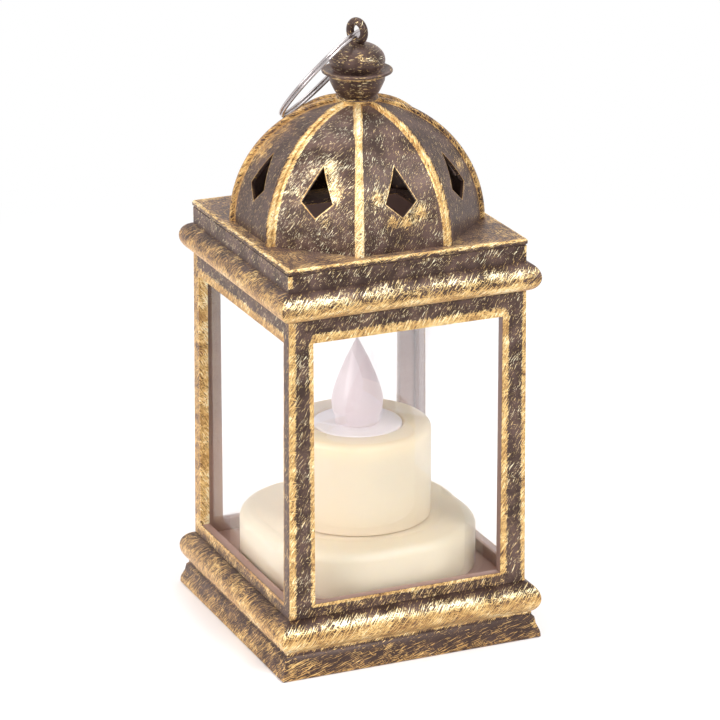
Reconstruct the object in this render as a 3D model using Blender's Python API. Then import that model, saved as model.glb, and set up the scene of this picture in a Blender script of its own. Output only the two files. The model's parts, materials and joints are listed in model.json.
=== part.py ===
"""A small candle lantern with a battery tealight inside, modelled at rest in metres with +Z up.

The origin is the middle of the base's underside. The large visible face looks along -Y.
"""

import math

import bmesh
import bpy
from mathutils import Matrix, Vector

# Clearances
GAP = 0.0003  # assembly gap between two pieces that touch on the real lantern
BURY = 0.0005  # how far joined shapes of one piece run into each other

# Base moulding
SKIRT_LIP = 0.0009
SKIRT_OVERHANG = 0.0017
SKIRT_FLARE = 0.0011
SKIRT_HEIGHT = 0.0048
GROOVE_DEPTH = 0.0005
GROOVE_STEP = 0.0002
LOWER_ROLL_OVERHANG = 0.0028
LOWER_ROLL_RADIUS = 0.0038
BASE_WALL = 0.0020
DECK_THICKNESS = 0.0015
CORNER_RADIUS = 0.0008
LEAD_HOLE_RADIUS = 0.0036
LOCATING_RING_HEIGHT = 0.0014
LOCATING_RING_WALL = 0.0010

# Cage and its snap hooks
CAGE_FOOT_HALF = 0.0273
CAGE_TAPER = 0.00045
CAGE_WALL = 0.0021
SILL_HEIGHT = 0.0024
WINDOW_HEIGHT = 0.0577
HEAD_RAIL_HEIGHT = 0.00465
FRONT_POST_WIDTH = 0.0056
SIDE_POST_WIDTH = 0.0032
PANE_LEDGE = 0.0012
PANE_LEDGE_THICKNESS = 0.0008
SPIGOT_HEIGHT = 0.0032
SPIGOT_WALL = 0.0010
HOOK_WIDTH = 0.0060
HOOK_THICKNESS = 0.0010
HOOK_BARB = 0.0007
HOOK_INSET = 0.0007
HOOK_END = 0.0020

# Panes
PANE_THICKNESS = 0.0004

# Cornice
UPPER_ROLL_OVERHANG = 0.0025
UPPER_ROLL_RADIUS = 0.00325
FASCIA_HEIGHT = 0.00365

# Roof
PLATE_OVERHANG = 0.00015
PLATE_THICKNESS = 0.0010
PLATE_ROUND = 0.0003
LIP_HEIGHT = 0.0030
LIP_WALL = 0.0012
DOME_SIDES = 8
DOME_WALL = 0.0014
DOME_LEDGE = 0.0010
DOME_STEPS = 10
RIB_WIDTH = 0.0020
RIB_HEIGHT = 0.0006
VENT_TOP = 0.01675
VENT_MIDDLE = 0.00995
VENT_BOTTOM = 0.00685
VENT_HALF_WIDTH = 0.0035
VENT_DEPTH = 0.0180
COLLAR_RADIUS = 0.0046
COLLAR_SINK = 0.00015
COLLAR_THICKNESS = 0.0018
DOME_CROWN_RADIUS = 0.0036

# Finial, its screw and the hanging ring
FINIAL_FOOT_RADIUS = 0.0040
FINIAL_CUP_RADIUS = 0.00585
FINIAL_CUP_HEIGHT = 0.0033
FLANGE_RADIUS = 0.0075
FLANGE_RISE = 0.0019
FLANGE_THICKNESS = 0.0007
FLANGE_DISH = 0.0004
BALL_RADIUS = 0.0059
BALL_HALF_HEIGHT = 0.0035
BALL_LIFT = 0.0017
EYE_RADIUS = 0.00215
EYE_TUBE_RADIUS = 0.00085
EYE_SINK = 0.0005
EYE_AXIS_DEGREES = 18.8
BALL_FOOT_DEGREES = -15.0
BALL_CROWN_DEGREES = 82.0
FINIAL_SCREW_RADIUS = 0.0010
FINIAL_SCREW_HEAD_RADIUS = 0.0024
FINIAL_SCREW_CROWN_RADIUS = 0.0017
FINIAL_SCREW_HEAD = 0.0012
FINIAL_BORE_DEPTH = 0.0048
FINIAL_SCREW_GRIP = 0.0042
RING_RADIUS = 0.01215
RING_WIRE_RADIUS = 0.0006
RING_EYE_PLAY = 0.00015
RING_LEAN_DEGREES = 40.5
RING_AXIS_DEGREES = 45.0

# Candle
FOOT_CORNER_RADIUS = 0.0196
FOOT_HEIGHT = 0.0104
FOOT_ROUND = 0.0020
FOOT_WALL = 0.0012
CUP_RADIUS = 0.0160
CUP_WALL = 0.0012
CUP_HEIGHT = 0.0204
CUP_ROUND = 0.0014
CUP_MOUTH_RADIUS = 0.0100
COLLAR_WALL = 0.0011
COLLAR_HEIGHT = 0.0024
SEAT_DEPTH = 0.0011
SEAT_WIDTH = 0.0012
SEAT_THICKNESS = 0.0010
DISC_THICKNESS = 0.0007
FLAME_NECK_RADIUS = 0.0038
FLAME_NECK_LENGTH = 0.0012
FLAME_FOOT_RADIUS = 0.00485
FLAME_BELLY_RADIUS = 0.0056
FLAME_BELLY_HEIGHT = 0.0050
FLAME_HEIGHT = 0.0190
FLAME_WALL = 0.0007
FLAME_TIP_RADIUS = 0.0004
FLAME_TIP_WALL = 0.0021
FLAME_TAPER = 1.25
FLAME_FULLNESS = 1.05
BOARD_THICKNESS = 0.0012
LED_RADIUS = 0.0025
LED_FLANGE_RADIUS = 0.0029
LED_FLANGE = 0.0008
LED_HEIGHT = 0.0075
LED_STANDOFF = 0.0010
LED_LEG_RADIUS = 0.00025
LED_LEG_SPACING = 0.00127
LED_LEG_TAIL = 0.0006
LED_CROWN_DEGREES = 80.0
LEAD_RADIUS = 0.0004

# Battery bay, cover and switch
COVER_RECESS = 0.0012
COVER_THICKNESS = 0.0016
COVER_SCREW_INSET = 0.0050
SCREW_RADIUS = 0.0010
SCREW_HEAD_RADIUS = 0.0020
SCREW_HEAD = 0.0009
SCREW_LENGTH = 0.0060
BOSS_RADIUS = 0.0029
CELL_RADIUS = 0.0100
CELL_THICKNESS = 0.0032
CELL_EDGE = 0.0003
BAY_WALL = 0.0012
CAP_RADIUS = 0.0109
CAP_LUG = 0.0014
CAP_LUG_THICKNESS = 0.0008
CAP_LUG_DEGREES = 30.0
CAP_TURN_DEGREES = 60.0
CAP_GATE_PLAY_DEGREES = 6.0
CAP_SLOT_WIDTH = 0.0018
CAP_SLOT_LENGTH = 0.0150
CAP_SLOT_DEPTH = 0.0008
BAY_X = -0.0030
BAY_Y = -0.0050
CONTACT_THICKNESS = 0.0003
CONTACT_WIDTH = 0.0040
CONTACT_FOOT = 0.0030
SWITCH_INSET = 0.0087
SWITCH_LENGTH = 0.0086
SWITCH_WIDTH = 0.0044
SWITCH_HEIGHT = 0.0036
SWITCH_WALL = 0.0009
SWITCH_TRAVEL = 0.0020
SLIDER_WIDTH = 0.0020
SLIDER_THICKNESS = 0.0012
KNOB_LENGTH = 0.0024
KNOB_WIDTH = 0.0016
KNOB_RECESS = 0.0004
POCKET_WALL = 0.0009
POCKET_HEIGHT = 0.0020

# Facets
CORNER_STEPS = 3
ROLL_STEPS = 8
EDGE_STEPS = 4
ROUND_SIDES = 36
SMALL_SIDES = 16
FLAME_SIDES = 20
FLAME_STEPS = 9
EYE_SIDES = 20
RING_SIDES = 48
TUBE_SIDES = 10
LEG_SIDES = 6
LEG_HOLE_SIDES = 8
SHORT_LEAD_STEPS = 14
LONG_LEAD_STEPS = 22
LEAD_BEVEL_STEPS = 2
SHARP_DEGREES = 38.0

# Half widths of the mouldings, from the cage outwards
cage_head_half = CAGE_FOOT_HALF - CAGE_TAPER
lower_roll_half = CAGE_FOOT_HALF + LOWER_ROLL_OVERHANG
skirt_top_half = CAGE_FOOT_HALF + SKIRT_OVERHANG
skirt_half = skirt_top_half + SKIRT_FLARE
fascia_half = cage_head_half
upper_roll_half = fascia_half + UPPER_ROLL_OVERHANG
plate_half = fascia_half + PLATE_OVERHANG
dome_radius = plate_half

# Levels, from the floor up
lower_roll_z = SKIRT_HEIGHT + GROOVE_STEP + LOWER_ROLL_RADIUS
deck_top = lower_roll_z + LOWER_ROLL_RADIUS
deck_under = deck_top - DECK_THICKNESS
cage_bottom = deck_top + GAP
sill_top = cage_bottom + SILL_HEIGHT
window_top = sill_top + WINDOW_HEIGHT
cage_top = window_top + HEAD_RAIL_HEIGHT
cornice_bottom = cage_top + GAP
upper_roll_z = cornice_bottom + UPPER_ROLL_RADIUS
fascia_bottom = upper_roll_z + UPPER_ROLL_RADIUS
cornice_top = fascia_bottom + FASCIA_HEIGHT
plate_bottom = cornice_top + GAP
plate_top = plate_bottom + PLATE_THICKNESS
collar_top = plate_top + dome_radius - COLLAR_SINK
collar_bottom = collar_top - COLLAR_THICKNESS
finial_bottom = collar_top + GAP
cup_top = finial_bottom + FINIAL_CUP_HEIGHT
flange_bottom = cup_top + FLANGE_RISE
flange_top = flange_bottom + FLANGE_THICKNESS
ball_z = flange_top + BALL_LIFT
eye_z = ball_z + BALL_HALF_HEIGHT - EYE_SINK + EYE_RADIUS + EYE_TUBE_RADIUS
ring_pivot_z = eye_z - EYE_RADIUS + EYE_TUBE_RADIUS + RING_WIRE_RADIUS + RING_EYE_PLAY
foot_bottom = deck_top + GAP
foot_top = foot_bottom + FOOT_HEIGHT
candle_bottom = foot_top + GAP
candle_top = candle_bottom + CUP_HEIGHT
seat_top = candle_top - SEAT_DEPTH
seat_bottom = seat_top - SEAT_THICKNESS
disc_bottom = seat_top + GAP
disc_top = disc_bottom + DISC_THICKNESS
flame_bottom = disc_top + GAP
board_top = seat_bottom - GAP
board_bottom = board_top - BOARD_THICKNESS
led_bottom = board_top + LED_STANDOFF
cover_bottom = COVER_RECESS
cover_top = cover_bottom + COVER_THICKNESS
cap_lug_bottom = cover_top + GAP
cap_top = cap_lug_bottom + CAP_LUG_THICKNESS
cell_bottom = cap_top + GAP
cell_top = cell_bottom + CELL_THICKNESS
bay_step = cap_top + GAP
bay_top = cell_top + GAP
contact_bottom = bay_top + GAP
contact_top = contact_bottom + CONTACT_THICKNESS
switch_bottom = cover_top + GAP
slider_bottom = switch_bottom + GAP / 2
knob_bottom = KNOB_RECESS

# Sizes that fit one piece to another
base_inner_half = skirt_top_half - GROOVE_DEPTH - BASE_WALL
cage_inner_half = CAGE_FOOT_HALF - CAGE_WALL
pane_outer = cage_inner_half - GAP
pane_inner = pane_outer - PANE_THICKNESS
foot_half = pane_inner - GAP
cage_middle_half = CAGE_FOOT_HALF - CAGE_TAPER / 2
window_half_x = cage_middle_half - FRONT_POST_WIDTH
window_half_y = cage_middle_half - SIDE_POST_WIDTH
spigot_half = cage_inner_half - GAP
panel_radius = dome_radius - RIB_HEIGHT
dome_inner_radius = panel_radius - DOME_WALL
disc_radius = CUP_MOUTH_RADIUS - GAP
seat_radius = CUP_MOUTH_RADIUS - SEAT_WIDTH
collar_outer = CUP_RADIUS - CUP_WALL - GAP
collar_inner = collar_outer - COLLAR_WALL
board_radius = disc_radius
disc_hole_radius = FLAME_NECK_RADIUS + GAP
flame_bore = FLAME_NECK_RADIUS - FLAME_WALL
cover_half = base_inner_half - GAP
switch_y = cover_half - SWITCH_INSET
cover_hole_radius = CAP_RADIUS + GAP
cell_bore = CELL_RADIUS + GAP
lug_bore = CAP_RADIUS + CAP_LUG + GAP
bay_outer = lug_bore + BAY_WALL
slider_length = KNOB_LENGTH + 2 * SWITCH_WALL
switch_cavity_length = slider_length + SWITCH_TRAVEL + 2 * GAP
eye_point = Vector((0.0, 0.0, ring_pivot_z))


def clear_scene():
    for old in list(bpy.data.objects):
        bpy.data.objects.remove(old, do_unlink=True)


def principled(name, colour, roughness, metallic=0.0, alpha=1.0, transmission=0.0):
    """A material of one plain Principled surface."""
    material = bpy.data.materials.new(name)
    material.use_nodes = True
    surface = material.node_tree.nodes["Principled BSDF"]
    surface.inputs["Base Color"].default_value = (*colour, 1.0)
    surface.inputs["Roughness"].default_value = roughness
    surface.inputs["Metallic"].default_value = metallic
    surface.inputs["Alpha"].default_value = alpha
    surface.inputs["Transmission Weight"].default_value = transmission
    material.diffuse_color = (*colour, alpha)
    return material


def bronze():
    return principled("brushed_bronze", (0.33, 0.24, 0.13), 0.45, 0.5)


def clear_plastic():
    return principled("clear_pane", (0.93, 0.90, 0.92), 0.05, 0.0, 0.25, 0.6)


def cream_plastic():
    return principled("cream_plastic", (0.93, 0.85, 0.68), 0.45)


def white_plastic():
    return principled("white_plastic", (0.93, 0.93, 0.94), 0.5)


def flame_plastic():
    return principled("flame_plastic", (0.95, 0.87, 0.85), 0.35, 0.0, 0.9, 0.2)


def steel():
    return principled("steel_wire", (0.72, 0.73, 0.75), 0.25, 1.0)


def black_plastic():
    return principled("black_plastic", (0.03, 0.028, 0.026), 0.5)


def board_laminate():
    return principled("board_laminate", (0.06, 0.25, 0.10), 0.5)


def lead_sheath(name, colour):
    return principled(name, colour, 0.5)


def finish(obj, material, parent=None, smooth=True):
    """Gives the object its material and puts it under its parent."""
    obj.data.materials.clear()
    obj.data.materials.append(material)
    if smooth and obj.type == "MESH":
        obj.data.shade_smooth()
        obj.data.set_sharp_from_angle(angle=math.radians(SHARP_DEGREES))
    if parent:
        obj.parent = parent
        obj.matrix_parent_inverse = parent.matrix_world.inverted()
    return obj


def link(name, mesh):
    obj = bpy.data.objects.new(name, mesh)
    bpy.context.scene.collection.objects.link(obj)
    return obj


def empty_at(name, place):
    obj = bpy.data.objects.new(name, None)
    obj.location = place
    obj.empty_display_size = EYE_RADIUS
    bpy.context.scene.collection.objects.link(obj)
    bpy.context.view_layer.update()
    return obj


def helper(obj):
    """Marks a cutter or a joined shape, which the scene keeps but doesn't show."""
    obj.hide_render = True
    obj.display_type = "WIRE"
    return obj


def apply_boolean(obj, other, operation):
    modifier = obj.modifiers.new(operation.title() + " " + other.name, "BOOLEAN")
    modifier.operation = operation
    modifier.solver = "EXACT"
    modifier.object = helper(other)


def cut(obj, other):
    apply_boolean(obj, other, "DIFFERENCE")


def join(obj, other):
    apply_boolean(obj, other, "UNION")


def loft(name, rings, closed=False):
    """A body through rings of as many points each. A closed one meets its own start, another is capped."""
    bm = bmesh.new()
    loops = [[bm.verts.new(point) for point in ring] for ring in rings]
    pairs = list(zip(loops, loops[1:]))
    if closed:
        pairs.append((loops[-1], loops[0]))
    else:
        bm.faces.new(loops[0])
        bm.faces.new(loops[-1])
    for one, two in pairs:
        for index in range(len(one)):
            after = (index + 1) % len(one)
            bm.faces.new((one[index], one[after], two[after], two[index]))
    bmesh.ops.recalc_face_normals(bm, faces=bm.faces)
    mesh = bpy.data.meshes.new(name)
    bm.to_mesh(mesh)
    bm.free()
    return link(name, mesh)


def circle(radius, z, sides, x=0.0, y=0.0):
    turns = [2 * math.pi * index / sides for index in range(sides)]
    return [Vector((x + radius * math.cos(a), y + radius * math.sin(a), z)) for a in turns]


def turned(name, profile, sides, closed=False, x=0.0, y=0.0):
    """A round body from (radius, height) points."""
    return loft(name, [circle(radius, z, sides, x, y) for radius, z in profile], closed)


def rounded_square(half, z, corner=CORNER_RADIUS, steps=CORNER_STEPS):
    points = []
    for quarter in range(4):
        start = math.pi / 2 * quarter
        centre = Matrix.Rotation(start, 3, "Z") @ Vector((half - corner, half - corner, 0))
        for step in range(steps + 1):
            angle = start + math.pi / 2 * step / steps
            reach = Vector((math.cos(angle), math.sin(angle), 0)) * corner
            points.append(centre + reach + Vector((0, 0, z)))
    return points


def squared(name, profile, closed=False):
    """A four-sided body from (half width, height) points."""
    return loft(name, [rounded_square(half, z) for half, z in profile], closed)


def box(name, low, high):
    bm = bmesh.new()
    bmesh.ops.create_cube(bm, size=1.0)
    low, high = Vector(low), Vector(high)
    bmesh.ops.scale(bm, vec=high - low, verts=bm.verts)
    bmesh.ops.translate(bm, vec=(low + high) / 2, verts=bm.verts)
    mesh = bpy.data.meshes.new(name)
    bm.to_mesh(mesh)
    bm.free()
    return link(name, mesh)


def prism(name, outline, across, place=(0, 0, 0), turn=0.0):
    """An outline of (outward, up) points, pushed out to both sides and turned about Z."""
    spin = Matrix.Rotation(turn, 3, "Z")
    ends = []
    for side in (-across / 2, across / 2):
        ends.append([spin @ Vector((out, side, up)) + Vector(place) for out, up in outline])
    return loft(name, ends)


def merge(name, objects):
    """One object holding the separate shapes of several."""
    bm = bmesh.new()
    for obj in objects:
        bm.from_mesh(obj.data)
        bpy.data.objects.remove(obj, do_unlink=True)
    mesh = bpy.data.meshes.new(name)
    bm.to_mesh(mesh)
    bm.free()
    return link(name, mesh)


def arc(centre_out, centre_up, radius, start, end, steps, up_radius=None):
    """Points of an arc, or of an ellipse with its own height, from one angle to another in degrees."""
    up_radius = radius if up_radius is None else up_radius
    points = []
    for step in range(steps + 1):
        angle = math.radians(start + (end - start) * step / steps)
        out = centre_out + radius * math.cos(angle)
        points.append((out, centre_up + up_radius * math.sin(angle)))
    return points


def meets(outer_half, roll_half, radius):
    """The angle in degrees at which a half-round moulding meets a face at outer_half."""
    return math.degrees(math.acos((outer_half - (roll_half - radius)) / radius))


def base_shell():
    """The flared skirt, the groove, the lower half-round and the deck, open underneath."""
    centre = lower_roll_half - LOWER_ROLL_RADIUS
    groove_half = skirt_top_half - GROOVE_DEPTH
    low = meets(groove_half, lower_roll_half, LOWER_ROLL_RADIUS)
    high = meets(CAGE_FOOT_HALF, lower_roll_half, LOWER_ROLL_RADIUS)
    profile = [
        (base_inner_half, deck_under),
        (base_inner_half, 0.0),
        (skirt_half, 0.0),
        (skirt_half, SKIRT_LIP),
        ((skirt_half + skirt_top_half) / 2 - GAP, SKIRT_HEIGHT / 2),
        (skirt_top_half, SKIRT_HEIGHT),
        (groove_half, SKIRT_HEIGHT + GROOVE_STEP),
    ]
    roll = arc(centre, lower_roll_z, LOWER_ROLL_RADIUS, -low, high, ROLL_STEPS)
    profile += roll + [(roll[-1][0] - GAP, deck_top)]
    return squared("base", profile)


def screw_places():
    place = base_inner_half - COVER_SCREW_INSET
    return [(place, place), (-place, place), (-place, -place), (place, -place)]


def make_base(material):
    """The base with its screw bosses, the ring that centres the candle, and the hooks' pockets."""
    base = base_shell()
    for number, (x, y) in enumerate(screw_places(), 1):
        boss = turned(f"boss_{number}", [(BOSS_RADIUS, cover_top + GAP), (BOSS_RADIUS, deck_under + BURY)],
                      SMALL_SIDES, False, x, y)
        join(base, boss)
    ring_half = foot_half - FOOT_WALL - GAP
    ring_corner = FOOT_CORNER_RADIUS - FOOT_WALL - GAP
    levels = (deck_top - BURY, deck_top + LOCATING_RING_HEIGHT)
    outer = [rounded_square(ring_half, z, ring_corner, ROLL_STEPS) for z in levels]
    wall = LOCATING_RING_WALL
    bore_half, bore_corner = ring_half - wall, ring_corner - wall
    inner = [rounded_square(bore_half, z, bore_corner, ROLL_STEPS) for z in reversed(levels)]
    join(base, loft("locating_ring", outer + inner, True))
    bore_radius = SCREW_RADIUS + GAP
    bore = [(bore_radius, cover_top), (bore_radius, cover_bottom + SCREW_LENGTH + GAP)]
    for number, (x, y) in enumerate(screw_places(), 1):
        cut(base, turned(f"screw_bore_{number}", bore, SMALL_SIDES, False, x, y))
    lead_hole = [(LEAD_HOLE_RADIUS, deck_under - BURY), (LEAD_HOLE_RADIUS, deck_top + BURY)]
    cut(base, turned("lead_hole", lead_hole, SMALL_SIDES))
    pocket_in = cage_inner_half + HOOK_INSET - 2 * GAP
    pocket_out = cage_inner_half + HOOK_INSET + HOOK_THICKNESS + GAP
    outline = [
        (pocket_in, hook_tip() - GAP),
        (pocket_out, hook_tip() - GAP),
        (pocket_out, deck_top + BURY),
        (pocket_in, deck_top + BURY),
    ]
    for quarter in range(4):
        turn = math.pi / 2 * quarter
        cut(base, prism(f"hook_pocket_{quarter + 1}", outline, HOOK_WIDTH + 2 * GAP, turn=turn))
    return finish(base, material)


def hook_tip():
    return deck_under - GAP - HOOK_END


def make_cage(material):
    """The four posts and the rails round the windows, with the spigot above and the snap hooks below."""
    ledge = cage_inner_half - PANE_LEDGE
    profile = [
        (cage_inner_half, cage_bottom),
        (CAGE_FOOT_HALF, cage_bottom),
        (cage_head_half, cage_top),
        (spigot_half, cage_top),
        (spigot_half, cage_top + SPIGOT_HEIGHT),
        (spigot_half - SPIGOT_WALL, cage_top + SPIGOT_HEIGHT),
        (ledge, cage_top),
        (ledge, cage_top - PANE_LEDGE_THICKNESS),
        (cage_inner_half, cage_top - PANE_LEDGE_THICKNESS),
    ]
    cage = squared("cage", profile, True)
    reach = CAGE_FOOT_HALF + BURY
    cut(cage, box("front_back_windows", (-window_half_x, -reach, sill_top),
                  (window_half_x, reach, window_top)))
    cut(cage, box("side_windows", (-reach, -window_half_y, sill_top),
                  (reach, window_half_y, window_top)))
    hook_in = cage_inner_half + HOOK_INSET
    hook_out = hook_in + HOOK_THICKNESS
    outline = [
        (hook_out, cage_bottom + BURY),
        (hook_out, hook_tip()),
        (hook_in, hook_tip()),
        (hook_in - HOOK_BARB, deck_under - GAP - HOOK_END / 3),
        (hook_in - HOOK_BARB, deck_under - GAP),
        (hook_in, deck_under - GAP),
        (hook_in, cage_bottom + BURY),
    ]
    for quarter in range(4):
        join(cage, prism(f"snap_hook_{quarter + 1}", outline, HOOK_WIDTH, turn=math.pi / 2 * quarter))
    return finish(cage, material)


def make_pane(name, side, material):
    """One clear pane. The front and back ones run past the ends of the side ones."""
    top = cage_top - PANE_LEDGE_THICKNESS - GAP
    long = pane_outer
    short = pane_inner - GAP
    low = {
        "front": (-long, -pane_outer),
        "back": (-long, pane_inner),
        "left": (-pane_outer, -short),
        "right": (pane_inner, -short),
    }[side]
    size = (2 * long, PANE_THICKNESS) if side in ("front", "back") else (PANE_THICKNESS, 2 * short)
    high = (low[0] + size[0], low[1] + size[1], top)
    return finish(box(name, (*low, cage_bottom), high), material, smooth=False)


def make_cornice(material):
    """The upper half-round with the plain fascia above it."""
    centre = upper_roll_half - UPPER_ROLL_RADIUS
    high = meets(fascia_half, upper_roll_half, UPPER_ROLL_RADIUS)
    profile = arc(centre, upper_roll_z, UPPER_ROLL_RADIUS, -90, high, ROLL_STEPS)
    profile += [(fascia_half, cornice_top), (cage_inner_half, cornice_top), (cage_inner_half, cornice_bottom)]
    return finish(squared("cornice", profile, True), material)


def dome_ring(outer, panel, angle):
    """One level of the ribbed eight-sided dome, at an angle above its springing."""
    points = []
    half = RIB_WIDTH / 2
    rib_out, rib_up = outer * math.cos(angle), outer * math.sin(angle)
    panel_out, panel_up = panel * math.cos(angle), panel * math.sin(angle)
    shoulder = panel_out - half * math.tan(math.pi / DOME_SIDES)
    for side in range(DOME_SIDES):
        turn = Matrix.Rotation(2 * math.pi * (side + 0.5) / DOME_SIDES, 3, "Z")
        for out, across, up in (
            (shoulder, -half, panel_up),
            (rib_out, -half, rib_up),
            (rib_out, half, rib_up),
            (shoulder, half, panel_up),
        ):
            points.append(turn @ Vector((out, across, up)) + Vector((0, 0, plate_top)))
    return points


def dome_shell():
    """The dome's wall with its ribs, as a closed shell with no floor."""
    crown = math.acos(DOME_CROWN_RADIUS / dome_radius)
    sunk = -math.asin(BURY / dome_radius)
    angles = [sunk] + [crown * step / DOME_STEPS for step in range(1, DOME_STEPS + 1)]
    outside = [dome_ring(dome_radius, panel_radius, angle) for angle in angles]
    inside = [dome_ring(dome_inner_radius, dome_inner_radius, angle) for angle in reversed(angles)]
    return loft("dome_shell", outside + inside, True)


def vent_cutters():
    """The eight kite-shaped vents, one in the middle of each panel."""
    outline = [
        (0.0, VENT_TOP),
        (VENT_HALF_WIDTH, VENT_MIDDLE),
        (0.0, VENT_BOTTOM),
        (-VENT_HALF_WIDTH, VENT_MIDDLE),
    ]
    cutters = []
    near = dome_radius + BURY - VENT_DEPTH
    for side in range(DOME_SIDES):
        turn = Matrix.Rotation(2 * math.pi * side / DOME_SIDES, 3, "Z")
        ends = []
        for out in (near, dome_radius + BURY):
            ends.append([turn @ Vector((out, across, plate_top + up)) for across, up in outline])
        cutters.append(loft(f"vent_{side + 1}", ends))
    return merge("vents", cutters)


def make_roof(material):
    """The roof plate with its lip, the ribbed dome with its vents, and the collar under the finial."""
    lip_in = spigot_half - LIP_WALL
    profile = [
        (lip_in, plate_bottom),
        (lip_in, plate_bottom - LIP_HEIGHT),
        (spigot_half, plate_bottom - LIP_HEIGHT),
        (spigot_half, plate_bottom),
        (plate_half - PLATE_ROUND, plate_bottom),
        (plate_half, plate_bottom + PLATE_ROUND),
        (plate_half, plate_top - PLATE_ROUND),
        (plate_half - PLATE_ROUND, plate_top),
    ]
    roof = squared("roof", profile)
    join(roof, dome_shell())
    collar = [(COLLAR_RADIUS, collar_bottom), (COLLAR_RADIUS, collar_top)]
    join(roof, turned("collar", collar, ROUND_SIDES))
    opening_radius = dome_inner_radius - DOME_LEDGE
    opening = []
    for z in (plate_bottom - BURY, plate_top + BURY):
        ring = circle(opening_radius, z, DOME_SIDES)
        turn = Matrix.Rotation(math.pi / DOME_SIDES, 3, "Z")
        opening.append([turn @ point for point in ring])
    cut(roof, loft("dome_opening", opening))
    cut(roof, vent_cutters())
    bore = [(FINIAL_SCREW_RADIUS + GAP, collar_bottom - BURY), (FINIAL_SCREW_RADIUS + GAP, collar_top + BURY)]
    cut(roof, turned("finial_screw_hole", bore, SMALL_SIDES))
    return finish(roof, material)


def make_finial(material):
    """The cup, the dished flange, the ball and the eye, with a blind bore for its screw."""
    bore = FINIAL_SCREW_RADIUS + GAP
    profile = [(bore, finial_bottom + FINIAL_BORE_DEPTH), (bore, finial_bottom)]
    swell = FINIAL_CUP_RADIUS - FINIAL_FOOT_RADIUS
    profile += arc(FINIAL_FOOT_RADIUS, cup_top, swell, -90, 0, EDGE_STEPS, FINIAL_CUP_HEIGHT)
    profile += [
        (FINIAL_CUP_RADIUS, flange_bottom - FLANGE_THICKNESS),
        (FLANGE_RADIUS - FLANGE_THICKNESS, flange_bottom),
        (FLANGE_RADIUS, flange_bottom + FLANGE_THICKNESS / 2),
        (FLANGE_RADIUS, flange_top),
        (FLANGE_RADIUS - FLANGE_THICKNESS, flange_top),
        (BALL_RADIUS, flange_top - FLANGE_DISH),
    ]
    profile += arc(0.0, ball_z, BALL_RADIUS, BALL_FOOT_DEGREES, BALL_CROWN_DEGREES, ROLL_STEPS,
                   BALL_HALF_HEIGHT)
    finial = turned("finial", profile, ROUND_SIDES)
    axis = math.radians(EYE_AXIS_DEGREES)
    rings = []
    along = Vector((-math.sin(axis), math.cos(axis), 0))
    across = Vector((math.cos(axis), math.sin(axis), 0))
    middle = Vector((0, 0, eye_z))
    for step in range(EYE_SIDES):
        turn = 2 * math.pi * step / EYE_SIDES
        out = along * math.cos(turn) + Vector((0, 0, math.sin(turn)))
        ring = []
        for side in range(TUBE_SIDES):
            roll = 2 * math.pi * side / TUBE_SIDES
            tube = (out * math.cos(roll) + across * math.sin(roll)) * EYE_TUBE_RADIUS
            ring.append(middle + out * EYE_RADIUS + tube)
        rings.append(ring)
    join(finial, loft("finial_eye", rings, True))
    return finish(finial, material)


def make_finial_screw(material):
    """The pan-head screw that holds the finial from inside the dome."""
    head_top = collar_bottom - GAP
    profile = [
        (FINIAL_SCREW_CROWN_RADIUS, head_top - FINIAL_SCREW_HEAD),
        (FINIAL_SCREW_HEAD_RADIUS, head_top - FINIAL_SCREW_HEAD / 2),
        (FINIAL_SCREW_HEAD_RADIUS, head_top),
        (FINIAL_SCREW_RADIUS, head_top),
        (FINIAL_SCREW_RADIUS, finial_bottom + FINIAL_SCREW_GRIP),
    ]
    return finish(turned("finial_screw", profile, SMALL_SIDES), material)


def make_hanging_ring(pivot, material):
    """The wire ring through the eye, leaning on the dome, with its origin on its hinge."""
    lean = math.radians(RING_LEAN_DEGREES)
    axis = math.radians(RING_AXIS_DEGREES)
    hinge = Vector((math.cos(axis), math.sin(axis), 0))
    outward = Vector((-math.sin(axis), math.cos(axis), 0))
    down = outward * math.sin(lean) - Vector((0, 0, math.cos(lean)))
    normal = hinge.cross(down)
    rings = []
    for step in range(RING_SIDES):
        turn = 2 * math.pi * step / RING_SIDES
        out = hinge * math.sin(turn) - down * math.cos(turn)
        ring = []
        for side in range(TUBE_SIDES):
            roll = 2 * math.pi * side / TUBE_SIDES
            wire = (out * math.cos(roll) + normal * math.sin(roll)) * RING_WIRE_RADIUS
            ring.append(down * RING_RADIUS + out * RING_RADIUS + wire)
        rings.append(ring)
    ring = loft("hanging_ring", rings, True)
    ring.location = pivot.location
    bpy.context.view_layer.update()
    return finish(ring, material, pivot)


def make_candle_foot(material):
    """The wide lower tier: a shell with a collar that centres the upper one."""
    steps = ROLL_STEPS

    def square(half, z):
        return rounded_square(half, z, FOOT_CORNER_RADIUS - (foot_half - half), steps)

    inner = foot_half - FOOT_WALL
    rings = [square(inner, foot_top - FOOT_WALL), square(inner, foot_bottom), square(foot_half, foot_bottom)]
    edge = arc(foot_half - FOOT_ROUND, foot_top - FOOT_ROUND, FOOT_ROUND, 0, 90, EDGE_STEPS)
    rings += [square(half, z) for half, z in edge]
    foot = loft("candle_foot", rings)
    collar = [(collar_outer, foot_top - BURY), (collar_outer, foot_top + COLLAR_HEIGHT)]
    join(foot, turned("foot_collar", collar, ROUND_SIDES))
    bore = [(collar_inner, foot_top - FOOT_WALL - BURY), (collar_inner, foot_top + COLLAR_HEIGHT + BURY)]
    cut(foot, turned("foot_bore", bore, ROUND_SIDES))
    return finish(foot, material)


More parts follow.
